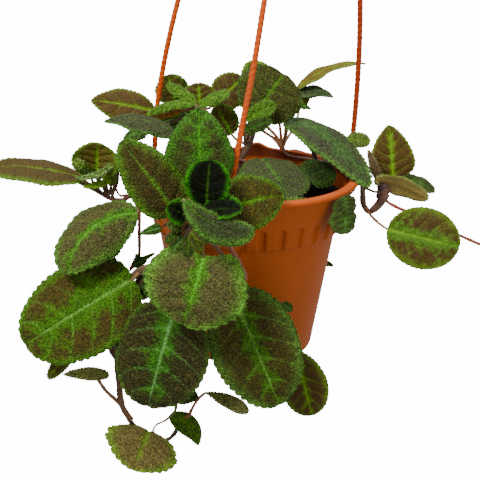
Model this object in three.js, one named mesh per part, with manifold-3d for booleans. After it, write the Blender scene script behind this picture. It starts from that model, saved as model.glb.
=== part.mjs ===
// A potted xantha flame violet: a trailing plant in a terracotta-orange hanging pot,
// carried by three moulded strands that meet at an open hook.
// Millimetres, +Z up, +X to the right and +Y to the back as the pot is usually seen.
// The origin is the point inside the hook that bears on whatever the pot hangs from.
import * as THREE from 'three';
import { mergeVertices } from 'three/addons/utils/BufferGeometryUtils.js';
import Module from 'manifold-3d';

const wasm = await Module();
wasm.setup();

// Pot sizes. Heights are measured from the plane of the rim's top.
const RIM_RADIUS = 76;
const RIM_INNER_RADIUS = 69.6;
const LIP_HEIGHT = 3.4;
const COLLAR_TOP_RADIUS = 72.5;
const COLLAR_FOOT_RADIUS = 64;
const COLLAR_FOOT_Z = -35.6;
const BODY_TOP_RADIUS = 61;
const BASE_RADIUS = 46;
const BASE_Z = -126;
const WALL = 2;
const FLOOR = 2.5;
const BASE_ROUND = 4;
const FLUTES = 32;
const FLUTE_WIDTH = 5;
const FLUTE_HEIGHT = 14.8;
const FLUTE_DEPTH = 2.2;
const SIDES_PER_FLUTE = 1.5;
const FIRST_FLUTE_ANGLE = 8.3;
const HUMP_ANGLE = 175;
const HUMP_HEIGHT = 4.2;
const HUMP_WIDTH = 17;
const DRAIN_HOLES = 5;
const DRAIN_RADIUS = 4;
const DRAIN_CIRCLE = 30;
const FIRST_DRAIN_ANGLE = 36;

// Soil sizes. The stems stand in plain holes.
const SOIL_TOP_Z = -14.5;
const SOIL_CROWN = 1.5;
const GAP = 0.35;
const SOIL_SIDES = 28;

// Hanger sizes. The strands stand in blind sockets in the rim and in the hub.
const HOOK_POINT = new THREE.Vector3(50, -5, 430);
const STRAND_RADIUS = 1.45;
const STRAND_SIDES = 5;
const STRAND_STEPS = 32;
const SOCKET_DEPTH = 2.4;
const STRAND_CIRCLE = 72.4;
const SOCKET_CLEARANCE = 0.9;
const STRAND_ANGLES = { front: -9, left: -113, right: 106 };
const HUB_RADIUS = 8.5;
const HUB_HEIGHT = 9;
const HUB_SOCKET_CIRCLE = 5;
const HOOK_INNER_RADIUS = 9;
const HOOK_WIDTH = 4.2;
const HOOK_THICKNESS = 4;

// Leaf and stem sizes.
const BLADE_THICKNESS = 0.8;
const LARGE_WIDTH = 36;
const LARGE_COLUMNS = [-1, -0.5, 0, 0.5, 1];
const SMALL_COLUMNS = [-1, 0, 1];
const LARGE_ROWS = 7;
const SMALL_ROWS = 6;
const TOOTH = 0.07;
const QUILT = 0.45;
const RIB_SINK = 0.5;
const PETIOLE_SIDES = 4;
const STEM_SIDES = 5;
const STEM_STEPS_PER_POINT = 1.4;
const HOLE_SIDES = 6;
const HOLE_CLEARANCE = 1.2;

// Colours of the finished pieces.
const POT_ORANGE = 0xb4552a;
const STRAND_ORANGE = 0xd8602a;
const SOIL_BLACK = 0x1d1814;
const LEAF_GREEN = 0x4d6a2a;

const radians = (degrees) => (degrees * Math.PI) / 180;

// A direction round the pot: 0 degrees faces the front, and angles grow towards the right.
function around(angle, radius, z) {
  return new THREE.Vector3(radius * Math.sin(radians(angle)), -radius * Math.cos(radians(angle)), z);
}

// Joins and cuts
function solidOf(geometry) {
  const bare = geometry.clone();
  for (const name of Object.keys(bare.attributes)) {
    if (name !== 'position') bare.deleteAttribute(name);
  }
  const merged = mergeVertices(bare, 1e-4);
  const mesh = new wasm.Mesh({
    numProp: 3,
    vertProperties: new Float32Array(merged.attributes.position.array),
    triVerts: new Uint32Array(merged.index.array),
  });
  return new wasm.Manifold(mesh);
}

function geometryOf(solid) {
  const mesh = solid.getMesh();
  const geometry = new THREE.BufferGeometry();
  geometry.setAttribute('position', new THREE.BufferAttribute(new Float32Array(mesh.vertProperties), 3));
  geometry.setIndex(new THREE.BufferAttribute(new Uint32Array(mesh.triVerts), 1));
  return geometry;
}

function joined(solids) {
  let total = solids[0];
  for (const solid of solids.slice(1)) total = total.add(solid);
  return total;
}

// A ring of points with a given number of sides.
function polygon(radius, sides) {
  const shape = new THREE.Shape();
  for (let i = 0; i < sides; i += 1) {
    const angle = (i / sides) * 2 * Math.PI;
    const x = radius * Math.cos(angle);
    const y = radius * Math.sin(angle);
    if (i === 0) shape.moveTo(x, y);
    else shape.lineTo(x, y);
  }
  shape.closePath();
  return shape;
}

// A round tube along a smooth line through the given points.
function tube(points, radius, sides, steps) {
  const path = new THREE.CatmullRomCurve3(points.map((p) => new THREE.Vector3(...p)), false, 'centripetal');
  const geometry = new THREE.ExtrudeGeometry(polygon(radius, sides), {
    extrudePath: path,
    steps,
    curveSegments: 1,
    bevelEnabled: false,
  });
  return solidOf(geometry);
}

function stem(radius, points) {
  return tube(points, radius, STEM_SIDES, Math.round(points.length * STEM_STEPS_PER_POINT));
}

function petioleTube(radius, points) {
  return tube(points, radius, PETIOLE_SIDES, Math.max(2, points.length - 1));
}

// The point at a share u of the way along a blade's arched midrib.
function midribPoint({ base, tip, arch = 0.1, sweep = 0 }, { facing, sideways }, u) {
  const start = new THREE.Vector3(...base);
  const line = new THREE.Vector3(...tip).sub(start);
  const bow = 4 * u * (1 - u) * line.length();
  const middle = start.addScaledVector(line, u);
  return middle.addScaledVector(facing, arch * bow).addScaledVector(sideways, sweep * bow);
}

// The two directions square to a blade's line: the way it faces and its sideways direction.
function bladeFrame({ base, tip, face }) {
  const along = new THREE.Vector3(...tip).sub(new THREE.Vector3(...base)).normalize();
  const facing = new THREE.Vector3(...face).normalize();
  facing.addScaledVector(along, -facing.dot(along)).normalize();
  return { facing, sideways: along.clone().cross(facing) };
}

// One blade. Its line runs from base to tip, arched towards the side it faces, and its outline is
// an oval whose widest place moves towards the base as 'taper' falls. The halves fold up along the
// midrib and droop at the edge. The top and bottom are split into triangles alike.
function blade(shape) {
  const { base, tip, width, arch = 0.1, fold = 0.1, droop = 0.25, taper = 0.9, point = 1, sweep = 0 } = shape;
  const large = width > LARGE_WIDTH;
  const { rows = large ? LARGE_ROWS : SMALL_ROWS } = shape;
  const across = large ? LARGE_COLUMNS : SMALL_COLUMNS;
  const frame = bladeFrame(shape);
  const line = new THREE.Vector3(...tip).sub(new THREE.Vector3(...base));
  const length = line.length();
  const half = BLADE_THICKNESS / 2;
  const top = [];
  const bottom = [];
  for (let row = 0; row <= rows; row += 1) {
    const u = 0.012 + 0.976 * (row / rows);
    const slope = 4 * (1 - 2 * u);
    const middle = midribPoint(shape, frame, u);
    const tangent = line.clone().addScaledVector(frame.facing, arch * length * slope);
    tangent.addScaledVector(frame.sideways, sweep * length * slope).normalize();
    const up = frame.facing.clone().addScaledVector(tangent, -frame.facing.dot(tangent)).normalize();
    const side = tangent.clone().cross(up);
    const t = u ** taper;
    const round = Math.max(0, 1 - (2 * t - 1) ** 2) ** (0.5 * point);
    const tooth = row % 2 === 1 ? 1 + TOOTH / 2 : 1 - TOOTH / 2;
    const halfWidth = (width / 2) * round * tooth;
    const inside = row > 0 && row < rows ? 1 : 0;
    for (const v of across) {
      const out = v * halfWidth;
      const quilt = Math.abs(v) === 0.5 ? QUILT * (row % 2 === 1 ? 1 : -1) : 0;
      const rib = v === 0 ? -RIB_SINK : 0;
      const lift = fold * Math.abs(out) - (droop * out * out) / (width / 2) + inside * (quilt + rib);
      const point3 = middle.clone().addScaledVector(side, out).addScaledVector(up, lift);
      top.push(point3.clone().addScaledVector(up, half));
      bottom.push(point3.clone().addScaledVector(up, -half));
    }
  }
  const columns = across.length;
  const positions = [];
  const face3 = (a, b, c) => positions.push(...a.toArray(), ...b.toArray(), ...c.toArray());
  const wall = (a, b) => {
    face3(top[a], bottom[b], top[b]);
    face3(top[a], bottom[a], bottom[b]);
  };
  for (let row = 0; row < rows; row += 1) {
    for (let column = 0; column < columns - 1; column += 1) {
      const a = row * columns + column;
      const b = a + 1;
      const c = a + columns;
      const d = c + 1;
      face3(top[a], top[b], top[c]);
      face3(top[b], top[d], top[c]);
      face3(bottom[a], bottom[c], bottom[b]);
      face3(bottom[b], bottom[c], bottom[d]);
    }
    wall((row + 1) * columns, row * columns);
    wall(row * columns + columns - 1, (row + 1) * columns + columns - 1);
  }
  for (let column = 0; column < columns - 1; column += 1) {
    wall(column, column + 1);
    wall(rows * columns + column + 1, rows * columns + column);
  }
  const geometry = new THREE.BufferGeometry();
  geometry.setAttribute('position', new THREE.Float32BufferAttribute(positions, 3));
  return solidOf(geometry);
}

// A leaf is a blade on a petiole. The petiole runs on a little way under the midrib.
function leaf(shape, petiole = [], radius = 1) {
  const solids = [blade(shape)];
  if (petiole.length > 0) {
    const seat = midribPoint(shape, bladeFrame(shape), 0.09).toArray();
    solids.push(petioleTube(radius, [...petiole, shape.base, seat]));
  }
  return joined(solids);
}

function bud([x, y, z], [rx, ry, rz]) {
  const geometry = new THREE.IcosahedronGeometry(1, 0);
  geometry.scale(rx, ry, rz);
  geometry.translate(x, y, z);
  return solidOf(geometry);
}

// The pot: a lathed shell with a lip, a flared collar with arched flutes at its foot, and a body.
function potShell() {
  const lipFoot = -LIP_HEIGHT;
  const bodySlope = (BODY_TOP_RADIUS - BASE_RADIUS) / (COLLAR_FOOT_Z - BASE_Z);
  const roundTop = BASE_RADIUS + bodySlope * BASE_ROUND;
  const profile = [
    [0, BASE_Z],
    [BASE_RADIUS - BASE_ROUND, BASE_Z],
    [BASE_RADIUS - BASE_ROUND * 0.3, BASE_Z + BASE_ROUND * 0.3],
    [roundTop, BASE_Z + BASE_ROUND],
    [BODY_TOP_RADIUS, COLLAR_FOOT_Z],
    [COLLAR_FOOT_RADIUS, COLLAR_FOOT_Z],
    [COLLAR_TOP_RADIUS, lipFoot],
    [RIM_RADIUS - 0.8, lipFoot],
    [RIM_RADIUS, lipFoot * 0.55],
    [RIM_RADIUS - 0.9, -0.5],
    [RIM_RADIUS - 1.8, 0],
    [RIM_INNER_RADIUS + 0.6, 0],
    [RIM_INNER_RADIUS, -0.6],
    [COLLAR_FOOT_RADIUS - 2 * WALL, COLLAR_FOOT_Z],
    [BASE_RADIUS - WALL, BASE_Z + FLOOR],
    [0, BASE_Z + FLOOR],
  ];
  const points = profile.map(([r, z]) => new THREE.Vector2(r, z));
  const geometry = new THREE.LatheGeometry(points, FLUTES * SIDES_PER_FLUTE);
  geometry.rotateX(Math.PI / 2);
  geometry.rotateZ(radians(FIRST_FLUTE_ANGLE));
  return solidOf(geometry);
}

// An upright prism with a round top, standing out from the axis at an angle round the pot.
function flute(angle) {
  const halfWidth = FLUTE_WIDTH / 2;
  const straight = FLUTE_HEIGHT - halfWidth;
  const arch = new THREE.Shape();
  arch.moveTo(-halfWidth, -1);
  arch.lineTo(halfWidth, -1);
  arch.lineTo(halfWidth, straight);
  arch.absarc(0, straight, halfWidth, 0, Math.PI, false);
  arch.closePath();
  const geometry = new THREE.ExtrudeGeometry(arch, { depth: 12, curveSegments: 2, bevelEnabled: false });
  const lean = Math.atan((COLLAR_TOP_RADIUS - COLLAR_FOOT_RADIUS) / (-LIP_HEIGHT - COLLAR_FOOT_Z));
  geometry.rotateX(Math.PI / 2 + lean);
  geometry.translate(0, -(COLLAR_FOOT_RADIUS - FLUTE_DEPTH), COLLAR_FOOT_Z);
  geometry.rotateZ(radians(angle));
  return solidOf(geometry);
}

// An upright post, used for sockets, drain holes and the holes that the stems stand in.
function post(radius, foot, head, sides) {
  const axis = new THREE.LineCurve3(new THREE.Vector3(...foot), new THREE.Vector3(...head));
  const geometry = new THREE.ExtrudeGeometry(polygon(radius, sides), {
    extrudePath: axis,
    steps: 1,
    curveSegments: 1,
    bevelEnabled: false,
  });
  return solidOf(geometry);
}

// The low raised place on the rim's back: a smooth hump along the ring.
function rimHump() {
  const outline = new THREE.Shape();
  outline.moveTo(-HUMP_WIDTH / 2, -1.5);
  outline.lineTo(HUMP_WIDTH / 2, -1.5);
  outline.lineTo(HUMP_WIDTH / 2, 0.2);
  outline.bezierCurveTo(
    HUMP_WIDTH / 4, 0.5,
    HUMP_WIDTH / 4, HUMP_HEIGHT,
    0, HUMP_HEIGHT,
  );
  outline.bezierCurveTo(
    -HUMP_WIDTH / 4, HUMP_HEIGHT,
    -HUMP_WIDTH / 4, 0.5,
    -HUMP_WIDTH / 2, 0.2,
  );
  outline.closePath();
  const thickness = 3;
  const geometry = new THREE.ExtrudeGeometry(outline, {
    depth: thickness,
    curveSegments: 3,
    bevelEnabled: false,
  });
  geometry.rotateX(Math.PI / 2);
  const middle = around(HUMP_ANGLE, RIM_INNER_RADIUS + 2.2 + thickness / 2, 0);
  geometry.translate(0, thickness / 2, 0);
  geometry.rotateZ(radians(HUMP_ANGLE));
  geometry.translate(middle.x, middle.y, 0);
  return solidOf(geometry);
}

function pot() {
  let solid = potShell().add(rimHump());
  for (let i = 0; i < FLUTES; i += 1) {
    solid = solid.subtract(flute(FIRST_FLUTE_ANGLE + (i * 360) / FLUTES));
  }
  for (const angle of Object.values(STRAND_ANGLES)) {
    const foot = around(angle, STRAND_CIRCLE, -SOCKET_DEPTH - GAP).toArray();
    const head = around(angle, STRAND_CIRCLE, 2).toArray();
    solid = solid.subtract(post(STRAND_RADIUS + SOCKET_CLEARANCE, foot, head, HOLE_SIDES));
  }
  for (let i = 0; i < DRAIN_HOLES; i += 1) {
    const angle = FIRST_DRAIN_ANGLE + (i * 360) / DRAIN_HOLES;
    const foot = around(angle, DRAIN_CIRCLE, BASE_Z - 2).toArray();
    const head = around(angle, DRAIN_CIRCLE, BASE_Z + 2 * FLOOR).toArray();
    solid = solid.subtract(post(DRAIN_RADIUS, foot, head, HOLE_SIDES));
  }
  return solid;
}

// Where the stems stand in the soil: the place at the surface and the stem's radius there.
const ROOTS = [
  { at: [-37, -46], radius: 2.2 },
  { at: [-57, -2], radius: 2.3 },
  { at: [-31, 10], radius: 2 },
  { at: [-2, 25], radius: 2 },
  { at: [50, 34], radius: 1.5 },
  { at: [50, 20], radius: 1.7 },
  { at: [46, 28], radius: 1.8 },
  { at: [14, 13], radius: 1.3 },
  { at: [30, -3], radius: 1.1 },
];
const ROOT_FOOT_Z = -26;

function soil() {
  const floor = BASE_Z + FLOOR + GAP;
  const wallRadius = (z) => {
    if (z > COLLAR_FOOT_Z) {
      const share = (z - COLLAR_FOOT_Z) / (-0.6 - COLLAR_FOOT_Z);
      const foot = COLLAR_FOOT_RADIUS - 2 * WALL;
      return foot + (RIM_INNER_RADIUS - foot) * share;
    }
    const share = (z - BASE_Z - FLOOR) / (COLLAR_FOOT_Z - BASE_Z - FLOOR);
    const foot = BASE_RADIUS - WALL;
    return foot + (COLLAR_FOOT_RADIUS - 2 * WALL - foot) * share;
  };
  const side = (z) => new THREE.Vector2(wallRadius(z) - 2 * GAP, z);
  const points = [
    new THREE.Vector2(0, floor),
    side(floor),
    side(COLLAR_FOOT_Z),
    side(SOIL_TOP_Z),
    new THREE.Vector2(wallRadius(SOIL_TOP_Z) * 0.7, SOIL_TOP_Z + SOIL_CROWN * 0.7),
    new THREE.Vector2(wallRadius(SOIL_TOP_Z) * 0.3, SOIL_TOP_Z + SOIL_CROWN),
    new THREE.Vector2(0, SOIL_TOP_Z + SOIL_CROWN),
  ];
  const geometry = new THREE.LatheGeometry(points, SOIL_SIDES);
  geometry.rotateX(Math.PI / 2);
  let solid = solidOf(geometry);
  for (const { at, radius } of ROOTS) {
    const foot = [...at, ROOT_FOOT_Z - 1];
    const head = [...at, SOIL_TOP_Z + 6];
    solid = solid.subtract(post(radius + HOLE_CLEARANCE, foot, head, HOLE_SIDES));
  }
  return solid;
}

// A stem's first points: straight down in its hole in the soil, and just above the surface.
function root(index, aboveSoil = 3) {
  const [x, y] = ROOTS[index].at;
  return [[x, y, ROOT_FOOT_Z], [x, y, SOIL_TOP_Z - 4], [x, y, SOIL_TOP_Z + SOIL_CROWN + aboveSoil]];
}

// The strands bow outwards a little, because they are moulded and not limp.
const STRAND_LINES = {
  front: [[-9.6, -70.2, 14], [-4.3, -64.8, 47], [1.2, -59.9, 77], [7.9, -53, 122], [17, -43.5, 180],
    [30, -29.5, 265], [42, -17, 340]],
  left: [[-65.7, 27.3, 14], [-63.4, 25, 43], [-57.5, 22.2, 77], [-49, 19.3, 113], [-30, 13.7, 180],
    [-3, 6.6, 260], [26, -0.6, 340]],
  right: [[71.8, 18.8, 22], [73.1, 16.8, 56], [73, 14.6, 90], [72, 12.8, 116], [69, 8.8, 180],
    [64.3, 4.2, 260], [58.5, -0.8, 340]],
};

function strandEnds(name) {
  const angle = STRAND_ANGLES[name];
  const hub = HOOK_POINT.clone().setZ(hubFootZ());
  const socket = around(angle, HUB_SOCKET_CIRCLE, 0).add(hub);
  return {
    foot: [-SOCKET_DEPTH, 1.5].map((z) => around(angle, STRAND_CIRCLE, z).toArray()),
    head: [[socket.x, socket.y, hub.z - 6], [socket.x, socket.y, hub.z + SOCKET_DEPTH]],
  };
}

function strand(name) {
  const { foot, head } = strandEnds(name);
  return tube([...foot, ...STRAND_LINES[name], ...head], STRAND_RADIUS, STRAND_SIDES, STRAND_STEPS);
}

// The hub stands below the hook's arc.
function hubFootZ() {
  return HOOK_POINT.z - 2 * HOOK_INNER_RADIUS - HOOK_WIDTH - HUB_HEIGHT;
}

function hangerHook() {
  const outer = HOOK_INNER_RADIUS + HOOK_WIDTH;
  const middleZ = -HOOK_INNER_RADIUS;
  const hook = new THREE.Shape();
  hook.moveTo(-HOOK_WIDTH / 2, middleZ - outer - 1);
  hook.lineTo(HOOK_WIDTH / 2, middleZ - outer - 1);
  hook.lineTo(HOOK_WIDTH / 2, middleZ - HOOK_INNER_RADIUS - 1.5);
  hook.absarc(0, middleZ, outer, -radians(78), radians(205), false);
  hook.absarc(0, middleZ, HOOK_INNER_RADIUS, radians(205), -radians(90), true);
  hook.lineTo(-HOOK_WIDTH / 2, middleZ - HOOK_INNER_RADIUS - 1);
  hook.closePath();
  const geometry = new THREE.ExtrudeGeometry(hook, {
    depth: HOOK_THICKNESS,
    curveSegments: 9,
    bevelEnabled: false,
  });
  geometry.translate(0, 0, -HOOK_THICKNESS / 2);
  geometry.rotateX(Math.PI / 2);
  geometry.translate(HOOK_POINT.x, HOOK_POINT.y, HOOK_POINT.z);
  const foot = hubFootZ();
  const hubProfile = [[0, 0], [HUB_RADIUS, 0], [HUB_RADIUS, HUB_HEIGHT * 0.55], [3.4, HUB_HEIGHT + 1.5],
    [0, HUB_HEIGHT + 1.5]];
  const hub = new THREE.LatheGeometry(hubProfile.map(([r, z]) => new THREE.Vector2(r, z)), 18);
  hub.rotateX(Math.PI / 2);
  hub.translate(HOOK_POINT.x, HOOK_POINT.y, foot);
  let solid = solidOf(hub).add(solidOf(geometry));
  for (const name of Object.keys(STRAND_ANGLES)) {
    const [x, y] = strandEnds(name).head[0];
    const low = [x, y, foot - 1];
    const high = [x, y, foot + SOCKET_DEPTH + GAP];
    solid = solid.subtract(post(STRAND_RADIUS + SOCKET_CLEARANCE, low, high, HOLE_SIDES));
  }
  return solid;
}

// The front crown hangs over the rim, with its big leaves round it and a trailing stem below.
function frontCrown() {
  const heart = [-34, -86, -9];
  const node = [-71, -68, -50];
  return joined([
    stem(2.2, [...root(0, 1), [-38, -50, -4], [-40, -56, 4], [-41.5, -62, 5.5], [-41, -69, 4],
      [-38, -78, -3], heart, [-38, -92, -19], [-54, -86, -36], node, [-82, -64, -69], [-86, -58, -104],
      [-83, -54, -146], [-78, -50, -165]]),
    leaf({ base: [-29, -82, 10], tip: [-34.5, -66, 59.5], width: 43, face: [0.05, -1, 0.25], arch: 0.1,
      droop: 0.45, taper: 0.8 }, [heart, [-31, -84, 2]], 1.5),
    leaf({ base: [-44, -88, -2], tip: [-77.5, -82, 40], width: 33, face: [-0.1, -0.8, 0.6], arch: 0.08,
      droop: 0.2, taper: 0.7 }, [heart, [-38, -87, -6]], 1.5),
    leaf({ base: [-25, -96, 4], tip: [-24, -94, 33], width: 28, face: [0, -1, 0.45], arch: 0.05,
      fold: 0.3, droop: 0, taper: 0.95 }, [heart, [-28, -92, -3]], 1.3),
    leaf({ base: [-13, -88, 1], tip: [22, -80, 8], width: 34, face: [0.1, -0.9, 0.45], arch: 0.1,
      fold: 0.15, droop: 0.2, taper: 0.7 }, [heart, [-22, -88, -4]], 1.3),
    leaf({ base: [-27, -100, 2], tip: [-3, -104, 5], width: 19, face: [0, -0.6, 0.8], arch: 0.05,
      fold: 0.3, droop: 0, rows: 8 }, [heart, [-31, -94, -4]], 1.2),
    leaf({ base: [-38, -103, 10.5], tip: [4, -114, -8], width: 18, face: [-0.25, -0.55, 0.8], arch: 0.02,
      droop: 0.5, sweep: 0.16 }, [heart, [-40, -93, -2], [-41, -99, 6]], 1.2),
    leaf({ base: [-36, -98, -2], tip: [-48, -102, 6], width: 16, face: [-0.3, -0.8, 0.5], arch: 0.05,
      fold: 0.3, droop: 0, rows: 6 }, [heart, [-35, -92, -6]], 1.2),
    leaf({ base: [-32, -102, -25], tip: [-40, -111, -67], width: 67, face: [0.05, -0.85, 0.5],
      arch: 0.14, fold: 0.15, droop: 0.35, taper: 0.92 }, [heart, [-32, -95, -17]], 1.8),
    leaf({ base: [-43, -84, -60], tip: [-62, -92, -132], width: 58, face: [-0.1, -1, 0.15], arch: 0.06,
      taper: 0.95 }, [heart, [-38, -86, -30]], 1.5),
    leaf({ base: [-9, -80, -55], tip: [23, -84, -133], width: 57, face: [0.1, -1, 0.2], arch: 0.06,
      taper: 0.95 }, [heart, [-20, -84, -16], [-11.5, -80, -25.5], [-6, -78, -31], [-1, -77, -47]], 1.9),
    leaf({ base: [34, -60, -102], tip: [47, -64, -150], width: 32, face: [0.1, -1, 0.1], arch: 0.05,
      droop: 0.2, taper: 1.25 }, [heart, [-15, -80, -32], [4, -70, -62], [24, -62, -90]], 1.3),
    leaf({ base: [-72, -72, -52], tip: [-141, -82, -95], width: 62, face: [-0.1, -0.95, 0.35],
      arch: 0.06 }, [[-66, -71, -46]], 1.6),
    leaf({ base: [-90, -61, -125.5], tip: [-120, -66, -123], width: 10, face: [-0.1, -0.75, 0.65],
      droop: 0.2, taper: 0.75, point: 1.2, rows: 6 }, [[-83, -54, -150], [-92, -58, -138]], 1.1),
    leaf({ base: [-65, -50, -174], tip: [-73, -84, -184], width: 50, face: [0.3, -0.5, 0.8],
      arch: 0.12, fold: 0.15, droop: 0.3, taper: 0.8 }, [[-78, -50, -165], [-71, -49, -172]], 0.9),
    leaf({ base: [-50, -52, -158], tip: [-30.5, -56, -179], width: 19, face: [0.2, -0.85, 0.4],
      droop: 0.2, taper: 0.6, point: 1.2, rows: 8 }, [[-83, -62, -88], [-60, -57, -116],
      [-47, -54, -138], [-45, -51, -152]], 1.2),
    leaf({ base: [-26, -58, -137.5], tip: [4, -60, -150], width: 10, face: [0.2, -0.75, 0.65],
      droop: 0.2, taper: 1.5, rows: 6 }, [[-49, -52, -160], [-40, -51, -159], [-33, -54, -147]], 1.1),
    leaf({ base: [-48, -50, -141], tip: [-30, -52, -141], width: 14, face: [0.1, -0.8, 0.6],
      droop: 0.3, taper: 0.6, rows: 6 }, [[-46, -50, -154]], 1.1),
    leaf({ base: [-109, -60, -104], tip: [-129, -62, -128], width: 11, face: [-0.3, -0.9, 0.1],
      arch: 0.05, droop: 0.2, rows: 6 }, [[-85, -58, -104], [-97, -58, -98]], 0.9),
    leaf({ base: [-55, -64, -20], tip: [-68, -66, -24], width: 7, face: [0, -0.9, 0.4], rows: 4 },
      [[-40, -72, 1], [-46, -68, -12]], 1),
    leaf({ base: [-32, -98, -10], tip: [-22, -104, -16], width: 10, face: [0.1, -0.8, 0.6], rows: 4 },
      [heart], 1),
    leaf({ base: [-40, -96, -9], tip: [-48, -102, -7], width: 8, face: [-0.2, -0.7, 0.6], rows: 4 },
      [heart], 0.9),
    stem(1.1, [[-78, -50, -164], [-66, -48, -179], [-54, -48, -181], [-48, -51, -172], [-48, -52, -162]]),
    bud([-43, -95, -18], [4, 4, 4]),
    bud([-38, -96, -21], [4, 4, 4]),
  ]);
}

// The left plantlet reaches over the rim on a thick stem and holds a long level leaf.
function leftPlantlet() {
  const over = [-72, -27, 4.6];
  const fork = [-92, -42, -6.5];
  return joined([
    stem(2.3, [...root(1, 1), [-61, -9, -2], [-66, -17, 5], over, [-76, -34, -3], [-79, -38, -8.5],
      [-84, -41, -9.5], fork, [-99, -42.5, -2], [-110, -43.5, 3.5]]),
    leaf({ base: [-69, -60, -9], tip: [-99.5, -86, -44.5], width: 47, face: [-0.35, -0.8, 0.5],
      arch: 0.14, fold: 0.15, droop: 0.65, sweep: 0.18 }, [[-78, -37, -7], [-74, -48, -8]], 1.4),
    leaf({ base: [-107, -43, 4], tip: [-168, -54, 13], width: 27, face: [0.05, -0.35, 0.93], arch: 0.08,
      fold: 0.15, droop: 0.35 }, [[-99, -42.5, -2]], 1.4),
    leaf({ base: [-97, -44, 6], tip: [-97.5, -48, 31], width: 31, face: [0, -1, 0.4], arch: -0.05,
      fold: 0.3, droop: -0.1, taper: 0.85 }, [fork, [-94, -43, 0]], 1),
    leaf({ base: [-84, -46, 20], tip: [-108, -50, 3.5], width: 10, face: [-0.1, -1, 0.4], sweep: -0.14,
      rows: 6 }, [[-88, -42, -7], [-86, -41, 6], [-84, -42, 16]], 1),
    leaf({ base: [-88.5, -43, 1], tip: [-88, -44, 11], width: 7, face: [0.1, -1, 0.3], rows: 4 },
      [[-88, -42, -7]], 0.9),
    stem(1.1, [[-88, -42, -8], [-85.5, -40, -1], [-84, -40, 8], [-84.5, -40, 16]]),
    stem(1.2, [[-78, -37, -7], [-74, -39, -13], [-73, -40, -31], [-73, -41, -50], [-77, -41, -57]]),
    leaf({ base: [-77, -40, -56], tip: [-73, -42, -44.5], width: 7, face: [0.3, -1, 0.3], rows: 4 },
      [[-77, -41, -58]], 0.8),
    leaf({ base: [-74, -41, -54], tip: [-61, -43, -46], width: 8, face: [0, -0.9, 0.5], rows: 4 },
      [[-77, -41, -57]], 0.8),
  ]);
}

// The middle rosettes stand up behind the front crown.
function middleRosettes() {
  const leftHeart = [-35, 19, 40];
  const rightHeart = [-2, 25, 14];
  return joined([
    stem(2, [...root(2), [-32, 12, 12], leftHeart]),
    stem(2, [...root(3), rightHeart]),
    stem(1.2, [[-2, 25, 2], [-6, 17, 4], [-11, 13, 10], [-14, 12, 18.5], [-16.5, 12, 23.5], [-22, 13, 31.5],
      [-31, 16, 39.5], leftHeart]),
    leaf({ base: [-67, 32, 35], tip: [-109, 32, 43], width: 22, face: [-0.1, -0.85, 0.55], arch: 0.06,
      droop: 0.2, taper: 0.95, point: 1.1 }, [leftHeart, [-52, 29, 39]], 1.2),
    leaf({ base: [-46, -10, 26], tip: [-95, -16, 37], width: 28, face: [-0.1, -0.2, 0.98], arch: 0.14,
      droop: 0.35, point: 1.1 }, [[-32, 12, 14], [-40, 0, 20]], 1.2),
    leaf({ base: [-38, 19, 42], tip: [-70, 10.5, 35], width: 19, face: [-0.1, 0.32, 0.95], fold: 0.2,
      droop: -0.1, arch: 0.14 }, [leftHeart], 1.2),
    leaf({ base: [-37, 20, 43], tip: [-57, 24, 55], width: 10, face: [-0.5, -0.3, 0.8], arch: 0.06,
      droop: 0.3, rows: 8 }, [leftHeart], 1.1),
    leaf({ base: [-34, 18, 42], tip: [-14, 20, 52], width: 12, face: [0.3, -0.4, 0.85], arch: 0.08,
      droop: 0.3, taper: 1, rows: 6 }, [leftHeart], 1.1),
    leaf({ base: [-52, 44, 38], tip: [-58, 46, 58], width: 24, face: [0, -0.9, 0.4], arch: 0.05,
      droop: 0.2, rows: 6 }, [leftHeart, [-42, 32, 36]], 1.1),
    leaf({ base: [-35, 36, 38], tip: [-36, 38, 54], width: 24, face: [0, -0.9, 0.4], arch: 0.05,
      droop: 0.2, rows: 6 }, [leftHeart, [-35, 28, 38]], 1.1),
    leaf({ base: [-24, 44, 38], tip: [-5, 46, 57], width: 26, face: [0, -0.9, 0.4], arch: 0.05,
      droop: 0.2, taper: 0.95, rows: 6 }, [leftHeart, [-29, 33, 37]], 1.1),
    leaf({ base: [-70, 22, 23], tip: [-87, 21, 16], width: 13, face: [-0.2, -0.6, 0.75], droop: 0.3,
      rows: 6 }, [leftHeart, [-50, 20, 31]], 1),
    leaf({ base: [-43, 25, 36], tip: [-60, 24, 27], width: 17, face: [-0.2, -0.8, 0.5], droop: 0.3,
      rows: 6 }, [leftHeart], 1),
    leaf({ base: [2, 30, 31], tip: [21.5, 36, 62], width: 45, face: [0.05, -1, 0.3], arch: 0.06,
      taper: 1.3, point: 0.8 },
      [rightHeart, [-1, 28, 22]], 1.5),
    leaf({ base: [-3, 20, 30], tip: [19, 22, 43], width: 15, face: [0, -0.8, 0.6], arch: 0.05,
      fold: 0.2, droop: 0.1, taper: 1, rows: 8 }, [rightHeart, [-3, 22, 20]], 1.1),
    leaf({ base: [-6, 14, 22], tip: [16, 16, 32], width: 15, face: [0.1, -0.7, 0.7], arch: 0.08,
      fold: 0.2, droop: 0.3, rows: 8 }, [rightHeart, [-5, 18, 17]], 1.1),
    leaf({ base: [-12, 28, 20], tip: [-23, 30, 40], width: 20, face: [0, -0.9, 0.4], arch: 0.05,
      droop: 0.2, rows: 6 }, [rightHeart, [-8, 27, 16]], 1.1),
    leaf({ base: [16, 46, 47], tip: [3, 48, 70], width: 26, face: [0, -0.9, 0.4], arch: 0.05,
      droop: 0.2, point: 1.2, rows: 8 }, [rightHeart, [5, 38, 32]], 1.1),
  ]);
}

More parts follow.
